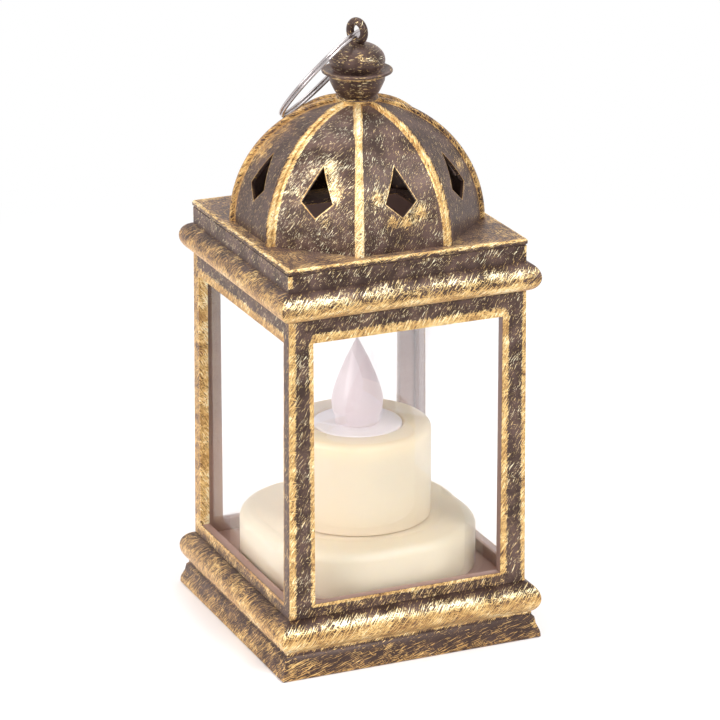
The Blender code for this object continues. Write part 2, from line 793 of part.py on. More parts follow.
def make_candle_cup(material):
    """The upper tier: a turned shell with a rounded rim and a seat for the wick plate."""
    inner = CUP_RADIUS - CUP_WALL
    profile = [
        (inner, candle_bottom),
        (CUP_RADIUS, candle_bottom),
    ]
    profile += arc(CUP_RADIUS - CUP_ROUND, candle_top - CUP_ROUND, CUP_ROUND, 0, 90, EDGE_STEPS)
    profile += [
        (CUP_MOUTH_RADIUS + PLATE_ROUND, candle_top),
        (CUP_MOUTH_RADIUS, candle_top - PLATE_ROUND),
        (CUP_MOUTH_RADIUS, seat_top),
        (seat_radius, seat_top),
        (seat_radius, seat_bottom),
        (inner - CUP_WALL, seat_bottom),
        (inner, seat_bottom - CUP_WALL),
    ]
    return finish(turned("candle_cup", profile, ROUND_SIDES, True), material)


def make_wick_plate(material):
    profile = [
        (disc_hole_radius, disc_bottom),
        (disc_radius, disc_bottom),
        (disc_radius, disc_top),
        (disc_hole_radius, disc_top),
    ]
    return finish(turned("wick_plate", profile, ROUND_SIDES, True), material)


def flame_outline(wall, tip_wall):
    """Half of the flame from its foot to its tip, drawn in by a wall that is thicker at the tip."""
    belly = flame_bottom + FLAME_BELLY_HEIGHT
    tip = flame_bottom + FLAME_HEIGHT - tip_wall
    points = [(FLAME_FOOT_RADIUS - wall, flame_bottom + wall)]
    points.append((FLAME_FOOT_RADIUS - wall, flame_bottom + FLAME_BELLY_HEIGHT / 4))
    points.append((FLAME_BELLY_RADIUS - wall - FLAME_TIP_RADIUS / 2, flame_bottom + FLAME_BELLY_HEIGHT / 2))
    for step in range(FLAME_STEPS):
        share = step / FLAME_STEPS
        thin = (1 - share ** FLAME_TAPER) ** FLAME_FULLNESS
        radius = FLAME_TIP_RADIUS + (FLAME_BELLY_RADIUS - wall - FLAME_TIP_RADIUS) * thin
        points.append((radius, belly + (tip - belly) * share))
    points.append((FLAME_TIP_RADIUS, tip))
    return points


def make_flame(material):
    """The hollow flame, with a neck down through the wick plate."""
    outside = flame_outline(0.0, 0.0)
    inside = flame_outline(FLAME_WALL, FLAME_TIP_WALL)
    neck_bottom = disc_top - FLAME_NECK_LENGTH
    profile = [(radius, z) for radius, z in reversed(inside)]
    profile += [(flame_bore, flame_bottom), (flame_bore, neck_bottom)]
    profile += [(FLAME_NECK_RADIUS, neck_bottom), (FLAME_NECK_RADIUS, flame_bottom)]
    profile += outside
    return finish(turned("flame", profile, FLAME_SIDES), material)


def leg_places():
    return [(-LED_LEG_SPACING, 0.0), (LED_LEG_SPACING, 0.0)]


def make_led(material):
    """The lamp with its flange and its two legs through the board."""
    top = led_bottom + LED_HEIGHT
    profile = [
        (LED_FLANGE_RADIUS, led_bottom),
        (LED_FLANGE_RADIUS, led_bottom + LED_FLANGE),
        (LED_RADIUS, led_bottom + LED_FLANGE),
    ]
    profile += arc(0.0, top - LED_RADIUS, LED_RADIUS, 0, LED_CROWN_DEGREES, EDGE_STEPS)
    led = turned("led", profile, SMALL_SIDES)
    for number, (x, y) in enumerate(leg_places(), 1):
        leg = [(LED_LEG_RADIUS, board_bottom - LED_LEG_TAIL), (LED_LEG_RADIUS, led_bottom + BURY)]
        join(led, turned(f"led_leg_{number}", leg, LEG_SIDES, False, x, y))
    return finish(led, material)


def make_circuit_board(material):
    board = turned("circuit_board", [(board_radius, board_bottom), (board_radius, board_top)], ROUND_SIDES)
    for number, (x, y) in enumerate(leg_places(), 1):
        hole = [(LED_LEG_RADIUS + GAP, board_bottom - BURY), (LED_LEG_RADIUS + GAP, board_top + BURY)]
        cut(board, turned(f"leg_hole_{number}", hole, LEG_HOLE_SIDES, False, x, y))
    return finish(board, material)


def smooth_route(points, count):
    """Points along a smooth curve through the route's own points."""
    route = [Vector(point) for point in points]
    route = [2 * route[0] - route[1]] + route + [2 * route[-1] - route[-2]]
    spans = len(route) - 3
    out = []
    for index in range(count + 1):
        place = spans * index / count
        span = min(int(place), spans - 1)
        t = place - span
        a, b, c, d = route[span:span + 4]
        bend = 2 * b + (c - a) * t + (2 * a - 5 * b + 4 * c - d) * t ** 2 + (3 * b - a - 3 * c + d) * t ** 3
        out.append(bend / 2)
    return out


def make_lead(name, points, count, material):
    """An insulated lead along its route."""
    curve = bpy.data.curves.new(name, "CURVE")
    curve.dimensions = "3D"
    curve.bevel_depth = LEAD_RADIUS
    curve.bevel_resolution = LEAD_BEVEL_STEPS
    curve.use_fill_caps = True
    spline = curve.splines.new("POLY")
    route = smooth_route(points, count)
    spline.points.add(len(route) - 1)
    for target, point in zip(spline.points, route):
        target.co = (*point, 1.0)
    obj = link(name, curve)
    return finish(obj, material)


def bay_end(side):
    """Where a contact's foot lies on the bay's wall, left or right of the cell."""
    return BAY_X + side * (bay_outer - CONTACT_FOOT / 2)


def make_leads(red, black):
    """The three leads: cell to switch, switch to board, and board back to the cell."""
    start = contact_top + GAP + LEAD_RADIUS
    switch_top = switch_bottom + SWITCH_HEIGHT
    lane = (contact_top + deck_under) / 2 + LEAD_RADIUS
    hole = LEAD_HOLE_RADIUS / 2
    end = board_bottom - GAP
    rise = (deck_top + end) / 2
    near, far = -SWITCH_LENGTH / 4, SWITCH_LENGTH / 4
    make_lead("lead_positive", [
        (bay_end(1), BAY_Y + CONTACT_WIDTH / 4, start),
        (bay_end(1) + BAY_WALL, BAY_Y + bay_outer / 2, lane),
        (bay_end(1) / 2, switch_y - SWITCH_WIDTH, lane),
        (far, switch_y, switch_top + GAP + LEAD_RADIUS),
    ], SHORT_LEAD_STEPS, red)
    make_lead("lead_switch", [
        (near, switch_y, switch_top + GAP + LEAD_RADIUS),
        (near, switch_y - SWITCH_WIDTH, lane),
        (near / 2, hole + LEAD_RADIUS, lane),
        (-hole / 2, hole, deck_top),
        (-board_radius / 2, hole, rise),
        (-board_radius / 2, hole, end),
    ], LONG_LEAD_STEPS, red)
    make_lead("lead_negative", [
        (bay_end(-1), BAY_Y + CONTACT_WIDTH / 4, start),
        (bay_end(-1) + BAY_WALL, BAY_Y + bay_outer / 3, lane),
        (-hole, 0.0, lane),
        (-hole / 2, -hole / 2, deck_top),
        (board_radius / 2, -hole, rise),
        (board_radius / 2, -hole, end),
    ], LONG_LEAD_STEPS, black)


def bay_profile():
    """The wall round the cell: wide below for the cap's lugs, narrow above for the cell."""
    return [
        (lug_bore, cover_top - BURY),
        (bay_outer, cover_top - BURY),
        (bay_outer, bay_top),
        (cell_bore, bay_top),
        (cell_bore, bay_step),
        (lug_bore, bay_step),
    ]


def sector(name, radius_in, radius_out, low, high, middle, width):
    """A sector of a ring about the bay, between two heights. Angles are in degrees."""
    ends = []
    for z in (low, high):
        ring = []
        for radius, order in ((radius_in, 1), (radius_out, -1)):
            for step in range(EDGE_STEPS + 1):
                angle = math.radians(middle + order * width * (step / EDGE_STEPS - 0.5))
                ring.append(Vector((BAY_X + radius * math.cos(angle), BAY_Y + radius * math.sin(angle), z)))
        ends.append(ring)
    return loft(name, ends)


def make_bottom_cover(material):
    """The cover inside the skirt, with the battery bay, the switch's pocket and slot, and its screw holes."""
    profile = [(cover_half, cover_bottom), (cover_half, cover_top)]
    cover = squared("bottom_cover", profile)
    join(cover, turned("battery_bay", bay_profile(), ROUND_SIDES, True, BAY_X, BAY_Y))
    inner = (SWITCH_LENGTH / 2 + GAP, SWITCH_WIDTH / 2 + GAP)
    outer = (inner[0] + POCKET_WALL, inner[1] + POCKET_WALL)
    join(cover, box("switch_pocket", (-outer[0], switch_y - outer[1], cover_top - BURY),
                    (outer[0], switch_y + outer[1], cover_top + POCKET_HEIGHT)))
    cut(cover, box("switch_space", (-inner[0], switch_y - inner[1], cover_top),
                   (inner[0], switch_y + inner[1], cover_top + POCKET_HEIGHT + BURY)))
    slot = (KNOB_LENGTH + SWITCH_TRAVEL) / 2 + GAP
    cut(cover, box("knob_slot", (-slot, switch_y - KNOB_WIDTH / 2 - GAP, cover_bottom - BURY),
                   (slot, switch_y + KNOB_WIDTH / 2 + GAP, cover_top + BURY)))
    hole = [(cover_hole_radius, cover_bottom - BURY), (cover_hole_radius, cover_top + BURY / 2)]
    cut(cover, turned("cap_hole", hole, ROUND_SIDES, False, BAY_X, BAY_Y))
    for number, turn in enumerate((CAP_TURN_DEGREES, CAP_TURN_DEGREES + 180), 1):
        cut(cover, sector(f"lug_gate_{number}", CAP_RADIUS - BURY, lug_bore - BURY / 4, cover_bottom - BURY,
                          cover_top + BURY / 2, turn, CAP_LUG_DEGREES + CAP_GATE_PLAY_DEGREES))
    side = CONTACT_WIDTH / 2 + GAP
    cut(cover, box("contact_notch", (BAY_X + CELL_RADIUS, BAY_Y - side, bay_step + GAP),
                   (BAY_X + cell_bore + CONTACT_THICKNESS + 2 * GAP, BAY_Y + side, bay_top + BURY)))
    for number, (x, y) in enumerate(screw_places(), 1):
        hole = [
            (SCREW_HEAD_RADIUS + GAP, cover_bottom - BURY),
            (SCREW_HEAD_RADIUS + GAP, cover_bottom + SCREW_HEAD),
            (SCREW_RADIUS + GAP, cover_bottom + SCREW_HEAD),
            (SCREW_RADIUS + GAP, cover_top + BURY),
        ]
        cut(cover, turned(f"cover_screw_hole_{number}", hole, SMALL_SIDES, False, x, y))
    return finish(cover, material)


def make_cover_screws(material):
    head_top = cover_bottom + SCREW_HEAD - GAP
    for number, (x, y) in enumerate(screw_places(), 1):
        profile = [
            (SCREW_HEAD_RADIUS, cover_bottom),
            (SCREW_HEAD_RADIUS, head_top),
            (SCREW_RADIUS, head_top),
            (SCREW_RADIUS, cover_bottom + SCREW_LENGTH),
        ]
        finish(turned(f"cover_screw_{number}", profile, SMALL_SIDES, False, x, y), material)


def make_battery_cap(pivot, material):
    """The twist cap under the cell, with two lugs above the cover and a coin slot below."""
    profile = [(CAP_RADIUS, cover_bottom), (CAP_RADIUS, cap_top)]
    cap = turned("battery_cap", profile, ROUND_SIDES, False, BAY_X, BAY_Y)
    for number, turn in enumerate((0, 180), 1):
        join(cap, sector(f"cap_lug_{number}", CAP_RADIUS - BURY, CAP_RADIUS + CAP_LUG,
                         cap_lug_bottom, cap_top, turn, CAP_LUG_DEGREES))
    cut(cap, box("coin_slot", (BAY_X - CAP_SLOT_LENGTH / 2, BAY_Y - CAP_SLOT_WIDTH / 2, cover_bottom - BURY),
                 (BAY_X + CAP_SLOT_LENGTH / 2, BAY_Y + CAP_SLOT_WIDTH / 2, cover_bottom + CAP_SLOT_DEPTH)))
    return finish(cap, material, pivot)


def make_battery_cell(material):
    profile = [
        (CELL_RADIUS - CELL_EDGE, cell_bottom),
        (CELL_RADIUS, cell_bottom + CELL_EDGE),
        (CELL_RADIUS, cell_top - CELL_EDGE),
        (CELL_RADIUS - CELL_EDGE, cell_top),
    ]
    return finish(turned("battery_cell", profile, ROUND_SIDES, False, BAY_X, BAY_Y), material)


def make_contacts(material):
    """The spring leaf over the cell and the clip down its side, both lying on the bay's wall."""
    thick = CONTACT_THICKNESS
    end = bay_outer
    dip = cell_top + GAP / 2
    leaf = [
        (end, contact_bottom),
        (end, contact_top),
        (cell_bore, contact_top),
        (CELL_RADIUS / 3, dip + thick + GAP / 2),
        (0.0, dip + thick),
        (0.0, dip),
        (CELL_RADIUS / 3, dip + GAP / 2),
        (cell_bore, contact_bottom),
    ]
    middle = (BAY_X, BAY_Y, 0)
    finish(prism("contact_negative", leaf, CONTACT_WIDTH, middle, math.pi), material, smooth=False)
    side = CELL_RADIUS + GAP
    clip = [
        (end, contact_bottom),
        (end, contact_top),
        (side, contact_top),
        (side, cell_bottom + 2 * GAP),
        (side + thick, cell_bottom + 2 * GAP),
        (side + thick, contact_bottom),
    ]
    finish(prism("contact_positive", clip, CONTACT_WIDTH, middle), material, smooth=False)


def make_switch_body(material):
    """The switch's case, hollow underneath for its slider."""
    half_length, half_width = SWITCH_LENGTH / 2, SWITCH_WIDTH / 2
    top = switch_bottom + SWITCH_HEIGHT
    body = box("switch_body", (-half_length, switch_y - half_width, switch_bottom),
               (half_length, switch_y + half_width, top))
    cavity_length = switch_cavity_length / 2
    cavity_width = SLIDER_WIDTH / 2 + GAP
    cavity_top = slider_bottom + SLIDER_THICKNESS + GAP
    cut(body, box("slider_space", (-cavity_length, switch_y - cavity_width, switch_bottom - BURY),
                  (cavity_length, switch_y + cavity_width, cavity_top)))
    return finish(body, material, smooth=False)


def make_switch_knob(pivot, material):
    """The slider and its knob, at the off end of the travel."""
    x = -SWITCH_TRAVEL / 2
    half = SLIDER_WIDTH / 2
    knob = box("switch_knob", (x - slider_length / 2, switch_y - half, slider_bottom),
               (x + slider_length / 2, switch_y + half, slider_bottom + SLIDER_THICKNESS))
    half = KNOB_WIDTH / 2
    join(knob, box("knob_stem", (x - KNOB_LENGTH / 2, switch_y - half, knob_bottom),
                   (x + KNOB_LENGTH / 2, switch_y + half, slider_bottom + SLIDER_THICKNESS / 2)))
    return finish(knob, material, pivot, smooth=False)


def main():
    clear_scene()
    bronze_paint = bronze()
    clear = clear_plastic()
    cream = cream_plastic()
    metal = steel()
    dark = black_plastic()
    make_base(bronze_paint)
    make_cage(bronze_paint)
    for side in ("front", "back", "left", "right"):
        make_pane(f"pane_{side}", side, clear)
    make_cornice(bronze_paint)
    make_roof(bronze_paint)
    make_finial(bronze_paint)
    make_finial_screw(metal)
    make_hanging_ring(empty_at("ring_hinge", eye_point), metal)
    make_candle_foot(cream)
    make_candle_cup(cream)
    make_wick_plate(white_plastic())
    make_flame(flame_plastic())
    make_led(clear)
    make_circuit_board(board_laminate())
    make_leads(lead_sheath("red_sheath", (0.5, 0.03, 0.02)), lead_sheath("black_sheath", (0.02, 0.02, 0.02)))
    make_bottom_cover(dark)
    make_cover_screws(metal)
    make_battery_cap(empty_at("cap_hinge", (BAY_X, BAY_Y, cover_bottom)), dark)
    make_battery_cell(metal)
    make_contacts(metal)
    make_switch_body(dark)
    make_switch_knob(empty_at("switch_slide", (0, switch_y, slider_bottom)), white_plastic())


main()
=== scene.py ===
"""The looks of a small candle lantern: gilded mouldings and dome, clear panes, candle, flame and studio."""

import json
import math

import bmesh
import bpy
from bpy.props import FloatProperty, FloatVectorProperty, IntProperty, PointerProperty
from mathutils import Matrix, Vector


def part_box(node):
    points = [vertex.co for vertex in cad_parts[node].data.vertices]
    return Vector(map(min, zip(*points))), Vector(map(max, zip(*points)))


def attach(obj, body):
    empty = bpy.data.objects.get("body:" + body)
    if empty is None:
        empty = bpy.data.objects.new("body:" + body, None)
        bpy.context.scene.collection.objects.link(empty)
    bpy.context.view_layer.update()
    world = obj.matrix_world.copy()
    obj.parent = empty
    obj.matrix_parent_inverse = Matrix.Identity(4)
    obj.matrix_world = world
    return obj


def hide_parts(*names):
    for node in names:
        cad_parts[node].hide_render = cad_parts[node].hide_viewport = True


bl_info = {
    "name": "Candle lantern",
    "version": (1, 0, 0),
    "blender": (4, 5, 0),
    "location": "3D View > Sidebar > Lantern",
    "description": "Builds the finished surfaces of a candle lantern round its packed frame",
    "category": "Add Mesh",
}

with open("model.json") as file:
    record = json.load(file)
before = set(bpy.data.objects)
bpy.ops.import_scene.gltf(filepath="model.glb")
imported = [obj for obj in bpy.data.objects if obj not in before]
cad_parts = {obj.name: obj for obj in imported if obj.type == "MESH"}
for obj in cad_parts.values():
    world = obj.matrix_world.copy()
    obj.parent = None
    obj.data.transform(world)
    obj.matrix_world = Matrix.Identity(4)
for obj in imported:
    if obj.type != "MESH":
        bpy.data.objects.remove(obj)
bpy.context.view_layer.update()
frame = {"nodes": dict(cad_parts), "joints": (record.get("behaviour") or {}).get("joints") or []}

# Corners of the boxes that the frame's nodes fill
base_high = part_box("base")[1]
pane_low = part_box("pane_front")[0]
cage_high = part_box("cage")[1]
cornice_low, cornice_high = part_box("cornice")
roof_low, roof_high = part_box("roof")
finial_low, finial_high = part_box("finial")
foot_low, foot_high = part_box("candle_foot")
cup_low, cup_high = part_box("candle_cup")
disc_low, disc_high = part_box("wick_plate")
flame_low, flame_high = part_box("flame")

# The camera, as fitted to the photograph
CAMERA_PLACE = (-0.297406, -0.681007, 0.319377)
CAMERA_TILT_DEGREES = 70.607
CAMERA_TURN_DEGREES = -23.638
CAMERA_LENS = 183.84
CAMERA_SENSOR = 36.0

# The studio, with its lamps as (name, place, size, power, colour)
FLOOR_RADIUS = 2.0
FLOOR_DROP = 0.00005
LAMP_TARGET = (0, 0, 0.06)
LAMPS = (
    ("key", (0.25, -0.75, 0.75), 0.45, 7.0, (1.0, 1.0, 1.0)),
    ("fill", (-0.9, -0.15, 0.45), 0.6, 6.5, (1.0, 0.92, 0.90)),
    ("top", (0.0, 0.2, 1.0), 0.6, 3.5, (1.0, 1.0, 1.0)),
)

# Gilding as (cover, tone, gap): the share that is gold, how pale it is, and how far off a brushed edge is,
# counted in that edge's own reach. A mark that leaves the gap out is far from any such edge.
FAR = 9.0
HIDDEN = -3.0
BARE = (0.04, 0.30)
DARK = (0.0, -0.2)
THIN = (0.22, 0.45)
HALF = (0.55, 0.45)
RICH = (0.74, 0.50)
SOLID = (0.93, 0.60)
SPECKLED = (0.07, 0.50)
# Hidden faces inside: their ground is painted paler as a painted sheen, and the tone sets how pale, palest on
# the deck
INNER = (0.0, 0.0, HIDDEN)
INNER_DECK = (0.0, 1.0, HIDDEN)

# Gilding of the cage. Left and right are those of a person who looks at that side from outside.
POST_MARK = (0.14, 0.58)
SIDE_LEFT_POST_MARK = (0.74, 0.50)
SIDE_RIGHT_POST_MARK = (0.14, 0.35)
HEAD_MARK = (0.12, 0.55)
SILL_MARK = (0.30, 0.42)
# The jamb's gold is real; its near white tone is a painted highlight that makes up for the shade in the
# opening
JAMB_MARK = (1.0, 0.85, 0.0)
RIGHT_CORNER_SHARE = 0.65
SIDE_REACH_SHARE = 0.3

# Gilding of the half-rounds as (angle up the curve, cover, tone), on the front and back, and on the sides.
# Besides the gold, the tones paint light: the pale band high on the front is a painted highlight, and the
# gold low on the curve is made richer and paler as painted light bounced up from the floor.
LOWER_ROLL_FRONT = (
    (-62, *BARE), (-54, 0.94, 0.68), (-10, 0.96, 0.64), (10, 0.80, 0.52), (24, 0.66, 0.86),
    (36, 0.50, 0.90), (50, 0.28, 0.60), (66, *BARE),
)
LOWER_ROLL_SIDE = (
    (-62, *BARE), (-54, 0.96, 0.70), (-14, 0.95, 0.66), (8, 0.80, 0.46), (30, 0.56, 0.32),
    (60, 0.36, 0.30), (78, *BARE),
)
UPPER_ROLL_FRONT = (
    (-90, 0.80, 0.60), (-70, 0.97, 0.72), (-24, 0.96, 0.70), (-10, 0.72, 0.45), (-2, 0.46, 0.40),
    (8, 0.56, 0.65), (24, 0.62, 0.92), (38, 0.46, 0.85), (52, 0.22, 0.60), (76, 0.12, 0.50),
)
UPPER_ROLL_SIDE = (
    (-90, 0.80, 0.55), (-70, 0.96, 0.66), (-14, 0.94, 0.60), (12, 0.70, 0.42), (36, 0.52, 0.35),
    (56, 0.30, 0.30), (76, *THIN),
)

# The gold down the corners of the fascia: its tone, its width on the two sides as a share of its reach,
# where it starts to thin, and the gap at which it is thin and at which it is half worn
CORNER_TONE = 0.62
SIDE_CORNER_SHARE = 0.35
FULL_GOLD_SHARE = 0.3
THINNED_GAP = 1.3
WORN_GAP = 0.75

# How far the brush's strokes lean from the level, in degrees, and how much longer they are on the base.
# Each side, panel and rib starts at another place in the strokes, so that no two look alike.
SKIRT_LEAN = 16.0
ROLL_LEAN = 52.0
POST_LEAN = 58.0
BASE_STRETCH = 1.4
FINE_STROKES = 1.35
SIDE_SHIFT = (0.3, 0.7)
PANEL_SHIFT = 0.11
RIB_SHIFT = (0.13, 0.05)

# Strokes as (lean in degrees, length, width, detail of the noise)
MAIN_STROKES = (0.0, 0.0024, 0.00017, 2.0)
CROSSING_STROKES = (-70.0, 0.0014, 0.00019, 2.0)
SCRATCHES = (12.0, 0.0030, 0.00014, 1.0)

# Distances below which points are one, and below which a cut keeps to a point that is there
TOUCHING = 1e-6
ON_THE_CUT = 1e-7

# The frame's own clearance between parts, and how much narrower the cage is at its head
GAP = 0.0003
CAGE_TAPER = 0.00045

# Base, cornice and roof plate
GROOVE_DEPTH = 0.0005
GROOVE_HEIGHT = 0.0002
BASE_WALL = 0.0020
DECK_THICKNESS = 0.0015
DECK_OVERLAP = 0.0004
FINE_EDGE = 0.0002
PLATE_THICKNESS = 0.0010
PLATE_EDGE = 0.0003
PLATE_SIDE_SHARE = 0.9
LIP_WALL = 0.0012
ROOF_OPENING = 0.0165

# Dome, in metres: corners of a vent by their height over the springing, the crown and the ribs
VENT_TOP = 0.01675
VENT_MIDDLE = 0.00995
VENT_BOTTOM = 0.00685
VENT_HALF_WIDTH = 0.0035
DOME_SIDES = 8
CROWN_RADIUS = 0.0036
COLLAR_RADIUS = 0.0046
COLLAR_HEIGHT = 0.0018
RIB_DRAW_IN = 0.3
RIB_SHOULDER = 0.00035
RIB_SUNK = 2.2
RIB_BLEND = 0.2

# The field of a panel is brushed most at this height, and falls off over this reach
FIELD_HEIGHT = 0.0095
FIELD_REACH = 0.0080
FIELD_LEAST = 0.55
FIELD_MORE = 0.75
FIELD_LIMIT = 0.9

# The brush on each panel, by its place round the dome: reach of the gold beside the left rib and the right
# rib, share and tone of the open field, and reach of the gold round the vent
PANEL_BRUSH = {
    4: (0.0010, 0.0001, 0.06, 0.35, 0.00012),
    5: (0.0007, 0.0001, 0.13, 0.66, 0.00026),
    6: (0.0001, 0.0004, 0.12, 0.62, 0.00014),
    7: (0.0001, 0.0003, 0.06, 0.35, 0.00012),
    None: (0.0004, 0.0004, 0.14, 0.50, 0.00020),
}

# The brush on each rib: cover and tone on its left, and on its right
RIB_BRUSH = {
    4: ((0.10, 0.20), (1.15, 0.72)),
    5: ((1.00, 0.92), (1.10, 1.02)),
    6: ((1.15, 0.78), (0.10, 0.20)),
    7: ((0.55, 0.40), (0.30, 0.30)),
    None: ((0.75, 0.45), (0.75, 0.45)),
}

# Dabs of gold: panel, place across and up, reach, cover and tone
DABS = (
    (5, 0.0038, 0.0118, 0.0015, 0.90, 0.40),
    (5, 0.0030, 0.0142, 0.0012, 0.75, 0.42),
    (5, 0.0014, 0.0166, 0.0013, 0.85, 0.42),
    (5, -0.0020, 0.0156, 0.0009, 0.60, 0.35),
    (5, -0.0042, 0.0112, 0.0010, 0.45, 0.25),
    (5, 0.0020, 0.0068, 0.0013, 0.40, 0.20),
    (5, -0.0016, 0.0066, 0.0012, 0.30, 0.20),
    (5, -0.0054, 0.0125, 0.0022, 0.22, 0.25),
    (6, -0.0022, 0.0062, 0.0012, 0.95, -0.12),
    (6, 0.0006, 0.0060, 0.0010, 0.80, -0.12),
    (6, 0.0040, 0.0074, 0.0013, 0.85, -0.08),
    (6, 0.0010, 0.0046, 0.0009, 0.35, -0.15),
    (6, -0.0052, 0.0112, 0.0010, 0.60, -0.15),
    (6, -0.0030, 0.0120, 0.0011, 0.35, 0.25),
    (4, -0.0050, 0.0165, 0.0026, 0.95, 0.20),
    (4, -0.0032, 0.0205, 0.0020, 0.70, 0.15),
    (7, 0.0042, 0.0130, 0.0013, 0.50, 0.10),
)

# Finial: cup, brim, ball and eye
CUP_FOOT = 0.0040
CUP_FLARE = 0.0018
CUP_BEND = 0.75
CUP_HEIGHT = 0.0033
CUP_STEPS = 10
BRIM_RISE = 0.0016
BALL_RISE = 0.0027
BALL_RADIUS = 0.0059
BALL_HALF_HEIGHT = 0.0038
BALL_STEPS = 22
EYE_DROP = 0.0030
EYE_WIRE = 0.00085
EYE_RADIUS = 0.00215
EYE_STEPS = 48
EYE_TURN_DEGREES = 18.8

# Dabs on the finial: place, with its height over the ball's middle or the cup's top, reach and cover
DAB_TONE = 0.10
BALL_DABS = (
    (-0.0012, -0.0052, 0.0016, 0.0012, 0.34),
    (-0.0050, -0.0030, 0.0014, 0.0010, 0.20),
    (0.0014, -0.0056, 0.0004, 0.0008, 0.26),
)
CUP_DABS = (
    (-0.0010, -0.0052, -0.0014, 0.0016, 0.14),
    (0.0036, -0.0040, -0.0004, 0.0012, 0.24),
)

# Hanging ring: two turns of wire, with their middles a little over one wire's width apart
WIRE_SIDES = 14
RING_RADIUS = 0.01215
RING_LEAN_DEGREES = 40.5
RING_TURNS = 2.0
RING_PITCH = 2.1
RING_STEPS = 96

# Candle and flame
CANDLE_WALL = 0.0012
TIER_EDGE = 0.0022
TIER_CORNER = 0.0196
TIER_CORNER_STEPS = 20
TIER_OPENING = 0.0134
CUP_RIM = 0.0016
MOUTH_EDGE = 0.0006
DISC_HOLE = 0.0041
FLAME_WALL = 0.0007
FLAME_TIP_WALL = 0.0021
FLAME_FOOT = 0.00485
FLAME_HIP = 0.0054
FLAME_BELLY = 0.0056
FLAME_BELLY_RISE = 0.0050
FLAME_STEPS = 26
NECK_INNER = 0.0031
NECK_OUTER = 0.0038

# The pieces that keep their CAD shape, by slot, and those among them that don't ride on the lantern
WORKS = (
    ("black_plastic", ("bottom_cover", "battery_cap", "switch_body")),
    ("white_plastic", ("switch_knob",)),
    ("steel", ("battery_cell", "contact_negative", "contact_positive", "finial_screw",
               "cover_screw_1", "cover_screw_2", "cover_screw_3", "cover_screw_4")),
    ("lamp_plastic", ("led",)),
    ("board_laminate", ("circuit_board",)),
    ("red_sheath", ("lead_positive", "lead_switch")),
    ("black_sheath", ("lead_negative",)),
)
RIDERS = {"battery_cap": "cap", "switch_knob": "knob"}
MOULDED_SHARP_DEGREES = 30.0


class LanternSizes(bpy.types.PropertyGroup):
    """Sizes of the lantern's mouldings, frame and dome."""

    skirt_top: FloatProperty(
        name="Skirt top", description="Half width of the skirt's upper edge",
        default=0.0290, unit="LENGTH")
    skirt_height: FloatProperty(
        name="Skirt height", description="Height of the flared skirt",
        default=0.0048, unit="LENGTH")
    skirt_half: FloatProperty(
        name="Skirt foot", description="Half width of the skirt where it stands",
        default=0.0301, unit="LENGTH")
    lower_roll: FloatProperty(
        name="Lower roll", description="Radius of the lower half-round",
        default=0.0038, unit="LENGTH")
    upper_roll: FloatProperty(
        name="Upper roll", description="Radius of the upper half-round",
        default=0.00325, unit="LENGTH")
    corner: FloatProperty(
        name="Corner", description="Radius on the corners of the mouldings",
        default=0.00025, unit="LENGTH")
    front_post: FloatProperty(
        name="Front post", description="Width of a post on the front and back",
        default=0.0056, unit="LENGTH")
    side_post: FloatProperty(
        name="Side post", description="Width of a post on the left and right",
        default=0.0032, unit="LENGTH")
    sill: FloatProperty(
        name="Sill", description="Height of the rail under a window",
        default=0.0024, unit="LENGTH")
    window: FloatProperty(
        name="Window", description="Height of a window",
        default=0.0577, unit="LENGTH")
    cage_height: FloatProperty(
        name="Cage height", description="Height of the posts with their rails",
        default=0.06475, unit="LENGTH")
    cage_wall: FloatProperty(
        name="Cage wall", description="Thickness of the posts and rails",
        default=0.0021, unit="LENGTH")
    near_reach: FloatProperty(
        name="Near reach", description="Width of the gold on a left-hand edge",
        default=0.0017, unit="LENGTH")
    far_reach: FloatProperty(
        name="Far reach", description="Width of the gold on a right-hand edge",
        default=0.0011, unit="LENGTH")
    sill_reach: FloatProperty(
        name="Sill reach", description="Depth of the gold below a window",
        default=0.0008, unit="LENGTH")
    head_reach: FloatProperty(
        name="Head reach", description="Depth of the gold above a window",
        default=0.0022, unit="LENGTH")
    corner_reach: FloatProperty(
        name="Corner reach", description="Width of the gold on a fascia's corner",
        default=0.0013, unit="LENGTH")
    edge_round: FloatProperty(
        name="Edge round", description="Rounding of the moulded edges",
        default=0.00035, unit="LENGTH")
    dome_radius: FloatProperty(
        name="Dome radius", description="Radius of the ribs' outer line",
        default=0.0270, unit="LENGTH")
    rib_width: FloatProperty(
        name="Rib width", description="Width of a rib of the dome",
        default=0.0018, unit="LENGTH")
    rib_height: FloatProperty(
        name="Rib height", description="How far a rib stands over the panels",
        default=0.0006, unit="LENGTH")
    dome_wall: FloatProperty(
        name="Dome wall", description="Thickness of the dome",
        default=0.0007, unit="LENGTH")
    ring_wire: FloatProperty(
        name="Ring wire", description="Radius of the hanging ring's wire",
        default=0.00031, unit="LENGTH")


